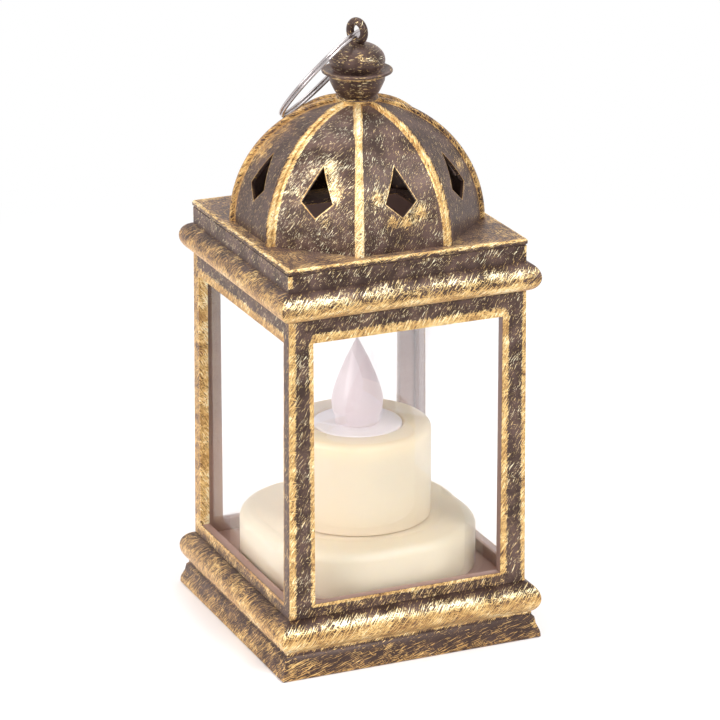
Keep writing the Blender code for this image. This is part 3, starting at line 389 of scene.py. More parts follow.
class LanternColours(bpy.types.PropertyGroup):
    """Colours of the lantern's paints and plastics."""

    bronze: FloatVectorProperty(
        name="Bronze", description="Dark ground under the gold",
        default=(0.020, 0.009, 0.007), subtype="COLOR")
    # Paler ground: rubbed wear in clouds outside, and painted sheen on the hidden faces inside
    bronze_wear_and_sheen: FloatVectorProperty(
        name="Worn bronze", description="Paler, rubbed ground",
        default=(0.140, 0.086, 0.074), subtype="COLOR")
    # Painted sheen: the ground of the deck and of the rails below the windows, inside, painted paler for the
    # sheen that grazing light gives them
    bronze_deck_sheen: FloatVectorProperty(
        name="Pale bronze", description="Ground of the deck inside",
        default=(0.40, 0.26, 0.22), subtype="COLOR")
    gold_deep: FloatVectorProperty(
        name="Deep gold", description="Thin gold over the ground",
        default=(0.26, 0.135, 0.048), subtype="COLOR")
    gold: FloatVectorProperty(
        name="Gold", description="Main tone of the brushed gold",
        default=(0.56, 0.335, 0.115), subtype="COLOR")
    # Pale and white gold: thick paint, and also the painted highlights on the rolls and the jamb
    gold_pale: FloatVectorProperty(
        name="Pale gold", description="Thick gold",
        default=(0.82, 0.58, 0.235), subtype="COLOR")
    gold_white: FloatVectorProperty(
        name="White gold", description="The brightest gold",
        default=(0.97, 0.92, 0.66), subtype="COLOR")
    cream: FloatVectorProperty(
        name="Cream", description="Plastic of the candle",
        default=(0.85, 0.68, 0.475), subtype="COLOR")
    white: FloatVectorProperty(
        name="White", description="Plastic of the disc and knob",
        default=(0.95, 0.89, 0.91), subtype="COLOR")
    flame: FloatVectorProperty(
        name="Flame", description="Frosted plastic of the flame",
        default=(0.35, 0.31, 0.315), subtype="COLOR")
    pane: FloatVectorProperty(
        name="Pane", description="Tint of the clear panes",
        default=(0.975, 0.955, 0.970), subtype="COLOR")
    steel: FloatVectorProperty(
        name="Steel", description="Plated wire and screws",
        default=(0.56, 0.51, 0.51), subtype="COLOR")
    black: FloatVectorProperty(
        name="Black", description="Plastic of the cover and cap",
        default=(0.022, 0.020, 0.019), subtype="COLOR")
    floor: FloatVectorProperty(
        name="Floor", description="Studio floor",
        default=(0.94, 0.93, 0.945), subtype="COLOR")


class LanternDetail(bpy.types.PropertyGroup):
    """How finely the round shapes are divided."""

    corner_steps: IntProperty(
        name="Corner steps", description="Divisions of a moulding's corner",
        default=3, subtype="UNSIGNED")
    roll_steps: IntProperty(
        name="Roll steps", description="Divisions of a half-round",
        default=20, subtype="UNSIGNED")
    turn_steps: IntProperty(
        name="Turn steps", description="Divisions of a turned shape",
        default=96, subtype="UNSIGNED")
    panel_columns: IntProperty(
        name="Panel columns", description="Columns of a dome panel",
        default=20, subtype="UNSIGNED")
    panel_rows: IntProperty(
        name="Panel rows", description="Rows of a dome panel",
        default=36, subtype="UNSIGNED")


# Meshes

def fresh():
    """An empty bmesh whose points carry the gilding and their rise along the surface."""
    bm = bmesh.new()
    bm.verts.layers.float_vector.new("gilt")
    bm.verts.layers.float.new("rise")
    bm.loops.layers.uv.new("brush")
    return bm


def everything(bm):
    return bm.verts[:] + bm.edges[:] + bm.faces[:]


def merge(bm):
    bmesh.ops.remove_doubles(bm, verts=bm.verts, dist=TOUCHING)


def face_out(bm):
    bmesh.ops.recalc_face_normals(bm, faces=bm.faces)


def cap_open_ends(bm):
    rims = [edge for edge in bm.edges if edge.is_boundary]
    if rims:
        bmesh.ops.holes_fill(bm, edges=rims, sides=0)


def cut(bm, place, normal):
    """Draws edges where a plane crosses the mesh."""
    bmesh.ops.bisect_plane(bm, geom=everything(bm), dist=ON_THE_CUT, plane_co=place, plane_no=normal)


def extruded(bm, edges):
    """Extrudes a loop of edges, for now in place. Returns the new points and the new loop."""
    made = bmesh.ops.extrude_edge_only(bm, edges=edges)["geom"]
    verts = [item for item in made if isinstance(item, bmesh.types.BMVert)]
    new = set(verts)
    loop = [item for item in made if isinstance(item, bmesh.types.BMEdge) and new.issuperset(item.verts)]
    return verts, loop


def side_of(place):
    """The outward direction of the side of the square lantern that a point belongs to."""
    if abs(place.x) > abs(place.y):
        return Vector((math.copysign(1, place.x), 0, 0))
    return Vector((0, math.copysign(1, place.y), 0))


def gild(bm, verts, mark, rise=None):
    """Marks points. A pair of marks holds one for the front and back, and one for the two sides."""
    gilt, rises = bm.verts.layers.float_vector["gilt"], bm.verts.layers.float["rise"]
    for vert in verts:
        own = mark if isinstance(mark[0], float) else mark[1 if side_of(vert.co).x else 0]
        vert[gilt] = (*own, FAR)[:3]
        vert[rises] = vert.co.z if rise is None else rise


def lay_out(bm, lean, depth=0.0, stretch=1.0):
    """Lays the brush's path over the sides: level along each, up by the points' rise, and then leaning.

    The lean is a number of degrees, or a function of a face's middle and its side."""
    layer, rises = bm.loops.layers.uv["brush"], bm.verts.layers.float["rise"]
    for face in bm.faces:
        middle = face.calc_center_median()
        out = side_of(middle)
        right = Vector((0, 0, 1)).cross(out)
        degrees = lean(middle, out) if callable(lean) else lean
        turn = Matrix.Rotation(-math.radians(degrees), 2)
        for loop in face.loops:
            along = right.dot(loop.vert.co) + out.dot(loop.vert.co) * depth
            path = turn @ Vector((along + out.x * SIDE_SHIFT[0] + out.y * SIDE_SHIFT[1], loop.vert[rises]))
            loop[layer].uv = (path.x / stretch, path.y)


def temper(bm, share):
    """Thins the gold on the left and right sides, where the brush hardly went."""
    gilt = bm.verts.layers.float_vector["gilt"]
    for vert in bm.verts:
        if side_of(vert.co).x:
            mark = vert[gilt]
            vert[gilt] = (mark.x * share, mark.y, mark.z)


def dab(bm, place, reach, cover, tone):
    """Adds a dab of gold round a place."""
    gilt = bm.verts.layers.float_vector["gilt"]
    for vert in bm.verts:
        share = math.exp(-((vert.co - place).length / reach) ** 2)
        mark = vert[gilt]
        vert[gilt] = (mark.x + cover * share, mark.y + tone * share, mark.z)


def corner_gold(bm, half, low, high, reach):
    """Gold down the corners of an upright band, wide on the left ends of the front and back."""
    gilt = bm.verts.layers.float_vector["gilt"]
    narrow = half - reach * SIDE_CORNER_SHARE
    for place in (reach - half, half - reach):
        cut(bm, Vector((place, 0, 0)), Vector((1, 0, 0)))
    for place in (-narrow, narrow):
        cut(bm, Vector((0, place, 0)), Vector((0, 1, 0)))
    for vert in bm.verts:
        if low < vert.co.z < high and max(abs(vert.co.x), abs(vert.co.y)) > half - reach:
            mark = vert[gilt]
            to_corner = half - min(abs(vert.co.x), abs(vert.co.y))
            if to_corner > reach * FULL_GOLD_SHARE:
                gap = THINNED_GAP
            elif vert.co.x * vert.co.y < 0:
                gap = WORN_GAP
            else:
                gap = 0.0
            vert[gilt] = (mark.x, max(mark.y, CORNER_TONE), min(mark.z, gap))


def arc(centre, height, radius, start, end, steps, gilding=None, up_radius=None):
    """Profile points on an arc from one angle to another. The gilding is a function of the angle, or bare."""
    up_radius = up_radius or radius
    points = []
    for step in range(steps + 1):
        degrees = start + (end - start) * step / steps
        angle = math.radians(degrees)
        out = centre + radius * math.cos(angle)
        points.append((out, height + up_radius * math.sin(angle), gilding(degrees) if gilding else BARE))
    return points


def between(stops, value):
    """Cover and tone between those of the two nearest stops, which are (value, cover, tone)."""
    for (low, *first), (high, *second) in zip(stops, stops[1:]):
        if value <= high:
            share = max(0.0, (value - low) / (high - low))
            return tuple(one + (two - one) * share for one, two in zip(first, second))
    return stops[-1][1:]


def half_round(half, height, radius, start, end, steps, front, side):
    """Profile of a half-round moulding, gilded by two tables of stops whose tones also paint its highlight
    and bounce light.
    """
    return arc(half - radius, height, radius, start, end, steps,
               lambda degrees: (between(front, degrees), between(side, degrees)))


def meets(outer, roll_half, radius):
    """The angle at which a half-round meets a flat face."""
    return math.degrees(math.acos((outer - (roll_half - radius)) / radius))


def square_loop(bm, half, height, filled):
    """A level square round the axis, with or without its face."""
    place = Matrix.Translation((0, 0, height)) @ Matrix.Rotation(math.pi / 4, 4, "Z")
    bmesh.ops.create_circle(bm, cap_ends=filled, segments=4, radius=half * math.sqrt(2), matrix=place)


def draw_square(profile, corner, steps, closed=True, grow=False):
    """A rounded square drawn through (half width, height, mark) points, and closed on itself or capped.

    Its corners keep their radius, or grow with the square."""
    bm = fresh()
    half, height, mark = profile[0]
    square_loop(bm, half, height, True)
    bmesh.ops.bevel(bm, geom=bm.verts[:], offset=corner, segments=steps, profile=0.5, affect="VERTICES",
                    material=-1)
    if closed:
        bmesh.ops.delete(bm, geom=bm.faces[:], context="FACES_ONLY")
    gild(bm, bm.verts, mark, 0.0)
    rise = 0.0
    first = edges = bm.edges[:]
    for half_next, height_next, mark in profile[1:]:
        verts, edges = extruded(bm, edges)
        step = half_next - half
        if grow:
            bmesh.ops.scale(bm, verts=verts, vec=(half_next / half, half_next / half, 1))
        for vert in verts:
            if not grow:
                vert.co.x += step * math.copysign(1, vert.co.x)
                vert.co.y += step * math.copysign(1, vert.co.y)
            vert.co.z = height_next
        rise += math.hypot(step, height_next - height)
        gild(bm, verts, mark, rise)
        half, height = half_next, height_next
    if closed:
        bmesh.ops.bridge_loops(bm, edges=first + edges)
    else:
        bmesh.ops.contextual_create(bm, geom=edges)
    face_out(bm)
    return bm


def turn_profile(profile, steps, closed=False):
    """A turned shape through (radius, height, mark) points. The ends meet the axis, or each other."""
    bm = fresh()
    points = []
    rise = 0.0
    widest = max(radius for radius, _, _ in profile)
    for index, (radius, height, mark) in enumerate(profile):
        if index:
            rise += math.hypot(radius - profile[index - 1][0], height - profile[index - 1][1])
        vert = bm.verts.new((radius, 0, height))
        gild(bm, [vert], mark, rise)
        points.append(vert)
    pairs = list(zip(points, points[1:]))
    if closed:
        pairs.append((points[-1], points[0]))
    edges = [bm.edges.new(pair) for pair in pairs]
    bmesh.ops.spin(bm, geom=points + edges, cent=(0, 0, 0), axis=(0, 0, 1), angle=2 * math.pi, steps=steps,
                   use_merge=True)
    merge(bm)
    cap_open_ends(bm)
    face_out(bm)
    layer, rises = bm.loops.layers.uv["brush"], bm.verts.layers.float["rise"]
    for face in bm.faces:
        middle = face.calc_center_median()
        facing = math.atan2(middle.y, middle.x)
        for loop in face.loops:
            place = loop.vert.co
            turned = math.remainder(math.atan2(place.y, place.x) - facing, 2 * math.pi)
            loop[layer].uv = ((facing + turned) * widest, loop.vert[rises])
    return bm


def ring_of_wire(centre, across, wire, radius, steps, turns=1.0, pitch=0.0):
    """Round wire bent round a centre. The axis across is the one that it turns about."""
    bm = fresh()
    out = across.orthogonal().normalized()
    side = across.cross(out)
    section = Matrix((out, across, side)).transposed().to_4x4()
    place = Matrix.Translation(centre + out * radius - across * pitch * turns / 2) @ section
    bmesh.ops.create_circle(bm, cap_ends=False, segments=WIRE_SIDES, radius=wire, matrix=place)
    count = round(steps * turns)
    bmesh.ops.spin(bm, geom=bm.verts[:] + bm.edges[:], cent=centre, axis=across, angle=2 * math.pi * turns,
                   steps=count, dvec=across * pitch * turns / count, use_merge=pitch == 0.0)
    cap_open_ends(bm)
    face_out(bm)
    return bm


def gathered(shapes):
    """One bmesh that holds several."""
    whole = fresh()
    for shape in shapes:
        mesh = bpy.data.meshes.new("part")
        shape.to_mesh(mesh)
        shape.free()
        whole.from_mesh(mesh)
        bpy.data.meshes.remove(mesh)
    return whole


def piece(name, bm, material, body, node, sharp_degrees=40.0):
    """Turns a bmesh into the finished piece that stands for a node of the frame and rides on its body."""
    mesh = bpy.data.meshes.new(name)
    bm.to_mesh(mesh)
    bm.free()
    mesh.shade_smooth()
    mesh.set_sharp_from_angle(angle=math.radians(sharp_degrees))
    mesh.materials.append(material)
    obj = bpy.data.objects.new(name, mesh)
    bpy.context.scene.collection.objects.link(obj)
    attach(obj, body)
    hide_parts(node)
    return obj


# Shader nodes

def feed(tree, socket, value):
    """Links a socket to another one, or gives it a plain value."""
    if isinstance(value, bpy.types.NodeSocket):
        tree.links.new(value, socket)
    else:
        socket.default_value = value


def give(node, values):
    """Puts plain values on a node's sockets."""
    for name, value in values.items():
        node.inputs[name].default_value = value


def math_node(tree, operation, first, second):
    """A math node whose operands are sockets or numbers. Returns its result."""
    node = tree.nodes.new("ShaderNodeMath")
    node.operation = operation
    feed(tree, node.inputs[0], first)
    feed(tree, node.inputs[1], second)
    return node.outputs[0]


def plus(tree, first, second):
    return math_node(tree, "ADD", first, second)


def minus(tree, first, second):
    return math_node(tree, "SUBTRACT", first, second)


def times(tree, first, second):
    return math_node(tree, "MULTIPLY", first, second)


def larger(tree, first, second):
    return math_node(tree, "MAXIMUM", first, second)


def ramp(tree, value, low, high, to_low=0.0, to_high=1.0, smooth=True):
    """The value taken from one range to another."""
    node = tree.nodes.new("ShaderNodeMapRange")
    node.interpolation_type = "SMOOTHSTEP" if smooth else "LINEAR"
    tree.links.new(value, node.inputs["Value"])
    for name, limit in (("From Min", low), ("From Max", high), ("To Min", to_low), ("To Max", to_high)):
        feed(tree, node.inputs[name], limit)
    return node.outputs["Result"]


def mix_colour(tree, factor, first, second):
    """One colour going over to another. Each is a socket, or its red, green and blue."""
    node = tree.nodes.new("ShaderNodeMix")
    node.data_type = "RGBA"
    sockets = {item.name: item for item in node.inputs if item.enabled}
    tree.links.new(factor, sockets["Factor"])
    for name, value in (("A", first), ("B", second)):
        feed(tree, sockets[name], value if isinstance(value, bpy.types.NodeSocket) else (*value, 1.0))
    return [item for item in node.outputs if item.enabled][0]


def noise(tree, vector, scale, detail, roughness=0.5):
    """A noise node. Its Fac is a cloud, and its Color is three of them."""
    node = tree.nodes.new("ShaderNodeTexNoise")
    give(node, {"Detail": detail, "Roughness": roughness})
    feed(tree, node.inputs["Scale"], scale)
    tree.links.new(vector, node.inputs["Vector"])
    return node


def warped(tree, vector, scale, amount):
    """The coordinates pushed about by a soft noise, so that lines laid along them waver."""
    push = tree.nodes.new("ShaderNodeVectorMath")
    push.operation = "MULTIPLY_ADD"
    tree.links.new(noise(tree, vector, scale, 1.0).outputs["Color"], push.inputs[0])
    push.inputs[1].default_value = (amount, amount, amount)
    tree.links.new(vector, push.inputs[2])
    return push.outputs[0]


def streaks(tree, vector, turn, length, width, detail):
    """Noise drawn out along one direction. Each direction starts at its own place in the noise."""
    mapping = tree.nodes.new("ShaderNodeMapping")
    mapping.vector_type = "TEXTURE"
    give(mapping, {
        "Rotation": (0.0, 0.0, math.radians(turn)),
        "Scale": (length, width, width),
        "Location": (turn * 0.01, 0.3, 0.0),
    })
    tree.links.new(vector, mapping.inputs["Vector"])
    return noise(tree, mapping.outputs[0], 1.0, detail, 0.6).outputs["Fac"]


def group_of(name, inputs, outputs):
    """A new shader node group, with its input and output nodes."""
    tree = bpy.data.node_groups.new(name, "ShaderNodeTree")
    for label, kind, value in inputs:
        socket = tree.interface.new_socket(label, in_out="INPUT", socket_type=kind)
        if value is not None:
            socket.default_value = value
    for label, kind in outputs:
        tree.interface.new_socket(label, in_out="OUTPUT", socket_type=kind)
    return tree, tree.nodes.new("NodeGroupInput"), tree.nodes.new("NodeGroupOutput")


def stroke_group():
    """Dry-brush strokes, most of them one way: where the coverage is high they close up to solid paint."""
    tree, given, out = group_of(
        "Brush strokes",
        [("Vector", "NodeSocketVector", None), ("Coverage", "NodeSocketFloat", 0.5)],
        [("Mask", "NodeSocketFloat"), ("Grain", "NodeSocketFloat")],
    )
    coverage = given.outputs["Coverage"]
    path = warped(tree, given.outputs["Vector"], 300.0, 0.0012)
    main = streaks(tree, path, *MAIN_STROKES)
    crossing = streaks(tree, path, *CROSSING_STROKES)
    both = larger(tree, main, minus(tree, crossing, 0.08))

    # The more coverage, the lower the threshold over which the noise is paint, with a soft edge round it
    threshold = ramp(tree, coverage, 0.0, 1.0, 0.665, 0.415, False)
    paint_there = ramp(tree, both, minus(tree, threshold, 0.025), plus(tree, threshold, 0.025))

    # Fine scratches of gold, wherever there is some coverage
    hair = times(tree, ramp(tree, streaks(tree, path, *SCRATCHES), 0.66, 0.70), 0.6)
    lit = times(tree, hair, ramp(tree, coverage, 0.03, 0.20))
    tree.links.new(larger(tree, paint_there, lit), out.inputs["Mask"])
    tree.links.new(both, out.inputs["Grain"])
    return tree


def mottle_group():
    """Soft cloudy change over the surface, with a finer grain in it."""
    tree, given, out = group_of(
        "Mottle",
        [("Vector", "NodeSocketVector", None), ("Scale", "NodeSocketFloat", 120.0)],
        [("Cloud", "NodeSocketFloat"), ("Grain", "NodeSocketFloat")],
    )
    for name, factor, detail in (("Cloud", 1.0, 3.0), ("Grain", 14.0, 2.0)):
        scale = times(tree, given.outputs["Scale"], factor)
        tree.links.new(noise(tree, given.outputs["Vector"], scale, detail).outputs["Fac"], out.inputs[name])
    return tree


def place_group(tree, name, make, vector, **values):
    """Places a shared group, which is made at its first use. Returns its node."""
    node = tree.nodes.new("ShaderNodeGroup")
    node.node_tree = bpy.data.node_groups.get(name) or make()
    tree.links.new(vector, node.inputs["Vector"])
    for socket, value in values.items():
        feed(tree, node.inputs[socket], value)
    return node


def mottled(tree, vector, scale):
    """The cloud and the grain of the shared mottle, at a scale."""
    node = place_group(tree, "Mottle", mottle_group, vector, Scale=scale)
    return node.outputs["Cloud"], node.outputs["Grain"]


def new_material(name):
    """A material with its node tree, its shader and the object's coordinates."""
    material = bpy.data.materials.new(name)
    material.use_nodes = True
    tree = material.node_tree
    place = tree.nodes.new("ShaderNodeTexCoord").outputs["Object"]
    return material, tree, tree.nodes["Principled BSDF"], place


def height_of(tree, vector):
    split = tree.nodes.new("ShaderNodeSeparateXYZ")
    tree.links.new(vector, split.inputs[0])
    return split.outputs["Z"]


def cloud_colours(tree, surface, cloud, low, high, first, second):
    """The surface's colour goes from one to another with the cloud."""
    colour = mix_colour(tree, ramp(tree, cloud, low, high), first, second)
    tree.links.new(colour, surface.inputs["Base Color"])


def grain_roughness(tree, surface, grain, low, high, smooth, rough):
    """The surface's roughness changes with the grain."""
    tree.links.new(ramp(tree, grain, low, high, smooth, rough), surface.inputs["Roughness"])


def bump(tree, surface, height, strength, distance):
    """Relief on the surface, from a height."""
    node = tree.nodes.new("ShaderNodeBump")
    give(node, {"Strength": strength, "Distance": distance})
    tree.links.new(height, node.inputs["Height"])
    tree.links.new(node.outputs["Normal"], surface.inputs["Normal"])


def toned(colour, share):
    """A colour made darker or lighter."""
    return tuple(min(1.0, part * share) for part in colour)


# Materials

def gold_tones(tree, tone):
    """Gold from deep ochre, through the main tone, to the near white of thick bright paint, which also serves
    as the painted highlight where the tone is high.
    """
    colours = bpy.context.scene.lantern_colours
    lower = mix_colour(tree, ramp(tree, tone, 0.05, 0.50), colours.gold_deep, colours.gold)
    upper = mix_colour(tree, ramp(tree, tone, 0.45, 0.80), lower, colours.gold_pale)
    return mix_colour(tree, ramp(tree, tone, 0.80, 1.15), upper, colours.gold_white)


def gilded_bronze():
    """Dark bronze plastic with gold dragged over it by a nearly dry brush, and with painted highlights and
    painted sheen where the marks call for them.
    """
    known = bpy.data.materials.get("gilded_bronze")
    if known:
        return known
    colours = bpy.context.scene.lantern_colours
    material, tree, surface, vector = new_material("gilded_bronze")
    gilt = tree.nodes.new("ShaderNodeAttribute")
    gilt.attribute_name = "gilt"
    mark = tree.nodes.new("ShaderNodeSeparateXYZ")
    tree.links.new(gilt.outputs["Vector"], mark.inputs[0])
    cover, tone, gap = mark.outputs
    path = tree.nodes.new("ShaderNodeUVMap")
    path.uv_map = "brush"

    # Level patches, in which the brush left more gold or less
    flat = tree.nodes.new("ShaderNodeMapping")
    give(flat, {"Scale": (150.0, 150.0, 360.0)})
    tree.links.new(vector, flat.inputs["Vector"])
    patch = noise(tree, flat.outputs[0], 1.0, 2.0, 0.55).outputs["Fac"]

    # Gold near a brushed edge. Where the cover is neither none nor full, the patches change it.
    rim = times(tree, ramp(tree, gap, 1.20, 0.55), ramp(tree, gap, -0.12, -0.02))
    cover = larger(tree, cover, rim)
    drift = times(tree, minus(tree, patch, 0.5), 1.1)
    open_share = times(tree, ramp(tree, cover, 0.02, 0.30), ramp(tree, cover, 0.98, 0.76))
    cover = plus(tree, cover, times(tree, drift, open_share))
    strokes = place_group(tree, "Brush strokes", stroke_group, path.outputs[0], Coverage=cover)
    cloud, grain = mottled(tree, vector, 260.0)

    # The ground: rubbed paler in clouds, more where the tone is high, and painted paler on the hidden faces
    # inside, most on the deck, as painted sheen
    worn = times(tree, ramp(tree, cloud, 0.35, 0.70), tone)
    ground = mix_colour(tree, worn, colours.bronze, colours.bronze_wear_and_sheen)
    inside = ramp(tree, gap, -0.05, -0.5)
    sheen_inside = mix_colour(tree, tone, colours.bronze_wear_and_sheen, colours.bronze_deck_sheen)
    ground = mix_colour(tree, times(tree, inside, 0.9), ground, sheen_inside)

    # The gold's tone: the marks' tone, which on the rolls and the jamb paints highlights, made paler in the
    # middle of a stroke, in a patch with more gold and beside an edge
    shine = times(tree, minus(tree, strokes.outputs["Grain"], 0.56), 3.2)
    sweep = times(tree, minus(tree, patch, 0.5), 1.3)
    tone = plus(tree, plus(tree, tone, shine), sweep)
    tone = plus(tree, tone, times(tree, rim, 0.09))

    # No strokes on hidden faces
    mask = times(tree, strokes.outputs["Mask"], ramp(tree, gap, -0.5, -0.05))
    tree.links.new(mix_colour(tree, mask, ground, gold_tones(tree, tone)), surface.inputs["Base Color"])
    tree.links.new(ramp(tree, mask, 0.0, 1.0, 0.0, 0.35), surface.inputs["Metallic"])
    grain_roughness(tree, surface, grain, 0.2, 0.8, 0.34, 0.50)
    give(surface, {
        "Specular Tint": (1.0, 0.78, 0.68, 1.0),
        "Sheen Weight": 0.30,
        "Sheen Roughness": 0.35,
        "Sheen Tint": (1.0, 0.70, 0.62, 1.0),
    })
    bump(tree, surface, plus(tree, mask, times(tree, grain, 0.6)), 0.35, 0.00010)
    return material


def plastic(name, colour, darker, roughness, scale, subsurface=0.0, radius=(0.004, 0.003, 0.002)):
    """Moulded plastic with a faint cloud in its colour and a fine grain."""
    known = bpy.data.materials.get(name)
    if known:
        return known
    material, tree, surface, vector = new_material(name)
    cloud, grain = mottled(tree, vector, scale)
    cloud_colours(tree, surface, cloud, 0.3, 0.7, toned(colour, darker), colour)
    grain_roughness(tree, surface, grain, 0.2, 0.8, roughness - 0.05, roughness + 0.05)
    give(surface, {"Subsurface Weight": subsurface, "Subsurface Radius": radius, "Subsurface Scale": 1.0})
    bump(tree, surface, grain, 0.08, 0.00005)
    return material


def white_plastic():
    """White plastic of the disc round the flame and of the switch's knob."""
    return plastic("white_disc", bpy.context.scene.lantern_colours.white, 0.97, 0.45, 90.0, 0.2)


def clear_pane():
    """Clear sheet with a faint tint and the slightest smears."""
    pane = bpy.context.scene.lantern_colours.pane
    material, tree, surface, vector = new_material("clear_pane_sheet")
    cloud, grain = mottled(tree, vector, 60.0)
    cloud_colours(tree, surface, cloud, 0.35, 0.65, toned(pane, 0.985), pane)
    grain_roughness(tree, surface, grain, 0.3, 0.7, 0.01, 0.03)
    give(surface, {"Transmission Weight": 1.0, "IOR": 1.3, "Alpha": 0.16})
    return material


def flame_plastic():
    """Frosted plastic, painted paler towards the tip against the shade there, with a faint painted glow that
    evens out its shading.
    """
    flame = bpy.context.scene.lantern_colours.flame
    material, tree, surface, vector = new_material("flame_frosted")
    rise = ramp(tree, height_of(tree, vector), flame_low.z, flame_high.z)
    cloud, grain = mottled(tree, vector, 180.0)
    # The tip is painted paler, to make up for the shade that falls on it
    body = mix_colour(tree, rise, flame, toned(flame, 1.45))
    cloudy = mix_colour(tree, times(tree, cloud, 0.3), body, toned(flame, 0.97))
    tree.links.new(cloudy, surface.inputs["Base Color"])
    grain_roughness(tree, surface, grain, 0.2, 0.8, 0.28, 0.36)
    give(surface, {
        "Subsurface Weight": 0.7,
        "Subsurface Radius": (0.004, 0.003, 0.0035),
        "Subsurface Scale": 1.0,
        # Painted glow: the flame is no lamp, and this faint emission evens out its shading
        "Emission Color": (1.0, 0.90, 0.92, 1.0),
        "Emission Strength": 0.30,
    })
    return material


def plated_steel():
    """Bright plated wire with fine drawing marks."""
    known = bpy.data.materials.get("plated_steel")
    if known:
        return known
    steel = bpy.context.scene.lantern_colours.steel
    material, tree, surface, vector = new_material("plated_steel")
    cloud, grain = mottled(tree, vector, 50.0)
    cloud_colours(tree, surface, cloud, 0.35, 0.7, steel, toned(steel, 0.72))
    grain_roughness(tree, surface, grain, 0.3, 0.7, 0.16, 0.34)
    give(surface, {"Metallic": 1.0})
    bump(tree, surface, grain, 0.06, 0.00002)
    return material


# Base and cage

class LANTERN_OT_base(bpy.types.Operator):
    """Build the skirt, the lower half-round and the deck"""

    bl_idname = "lantern.base"
    bl_label = "Base moulding"

    def execute(self, context):
        sizes, detail = context.scene.lantern_sizes, context.scene.lantern_detail
        roll_half = base_high.x
        radius = sizes.lower_roll
        groove = sizes.skirt_top - GROOVE_DEPTH
        groove_z = sizes.skirt_height + GROOVE_HEIGHT
        roll_z = groove_z + radius
        deck_top = roll_z + radius
        deck_bottom = deck_top - DECK_THICKNESS
        wall_half = groove - BASE_WALL
        low = meets(groove, roll_half, radius)
        high = meets(cage_high.x, roll_half, radius)
        middle = (sizes.skirt_half + sizes.skirt_top) / 2

        profile = [
            (wall_half, deck_bottom, BARE),
            (wall_half, 0.0, BARE),
            (sizes.skirt_half - FINE_EDGE, 0.0, HALF),
            (sizes.skirt_half, FINE_EDGE, ((0.58, 0.30), (0.66, 0.44))),
            (sizes.skirt_half - 0.0001, 0.0012, ((0.52, 0.26), (0.60, 0.42))),
            (middle + 0.0003, sizes.skirt_height * 0.35, ((0.36, 0.16), (0.48, 0.34))),
            (middle - 0.0003, sizes.skirt_height * 0.65, ((0.28, 0.14), (0.44, 0.32))),
            (sizes.skirt_top, sizes.skirt_height - 0.0003, ((0.14, 0.12), (0.36, 0.32))),
            (groove, groove_z, BARE),
        ]
        profile += half_round(roll_half, roll_z, radius, -low, high, detail.roll_steps,
                              LOWER_ROLL_FRONT, LOWER_ROLL_SIDE)
        profile += [(profile[-1][0] - 0.0003, deck_top, BARE), (wall_half, deck_top, BARE)]
        shell = draw_square(profile, sizes.corner, detail.corner_steps)

        def lean(middle, out):
            """The strokes are nearly level on the skirt's front and back, and steep elsewhere."""
            return SKIRT_LEAN if middle.z < groove_z and out.y else ROLL_LEAN

        lay_out(shell, lean, 0.0, BASE_STRETCH)
        inner = [(wall_half + DECK_OVERLAP, level, INNER_DECK) for level in (deck_bottom, deck_top)]
        deck = draw_square(inner, sizes.corner, detail.corner_steps, False)
        lay_out(deck, ROLL_LEAN)
        piece("base_moulding", gathered([shell, deck]), gilded_bronze(), "lantern", "base")
        return {"FINISHED"}


def cage_levels(sizes):
    """Heights at which the cage begins, its windows begin and end, and the cage ends."""
    sill_top = pane_low.z + sizes.sill
    return pane_low.z - GAP, sill_top, sill_top + sizes.window, pane_low.z + sizes.cage_height + GAP


def cage_half(sizes, height):
    """Half width of the cage at a height."""
    slope = CAGE_TAPER / sizes.cage_height
    return cage_high.x - slope * (height - (pane_low.z - GAP))


def window_half(sizes, out):
    """Half width of the window on the side that faces out."""
    return cage_high.x - CAGE_TAPER / 2 - (sizes.front_post if out.y else sizes.side_post)


def cage_mark(sizes, place):
    """The gilding of a point of the cage: gold along the corners and round the windows."""
    _, sill_top, window_top, _ = cage_levels(sizes)
    out = side_of(place)
    along = Vector((0, 0, 1)).cross(out).dot(place)
    half = cage_half(sizes, place.z)
    beside = abs(along) - window_half(sizes, out)
    below = max(sill_top - place.z, 0.0) / sizes.sill_reach
    above = max(place.z - window_top, 0.0) / sizes.head_reach
    if half - out.dot(place) > sizes.cage_wall / 2:
        # The jamb: real gold, painted near white as a painted highlight against the shade of the opening
        if out.x and along < 0 and beside < sizes.edge_round * 2 and not below and not above:
            return JAMB_MARK
        return INNER_DECK if below else INNER
    cover, tone = POST_MARK
    corner_reach, window_reach = sizes.near_reach, sizes.far_reach
    if along > 0:
        corner_reach, window_reach = sizes.far_reach * RIGHT_CORNER_SHARE, sizes.near_reach
    if out.x:
        corner_reach, window_reach = corner_reach * SIDE_REACH_SHARE, window_reach * SIDE_REACH_SHARE
        cover, tone = SIDE_LEFT_POST_MARK if along < 0 else SIDE_RIGHT_POST_MARK
    if beside < 0:
        cover, tone = HEAD_MARK if above else SILL_MARK
    from_window = math.hypot(max(beside, 0.0) / window_reach, below, above)
    return cover, tone, min(from_window, (half - abs(along)) / corner_reach)


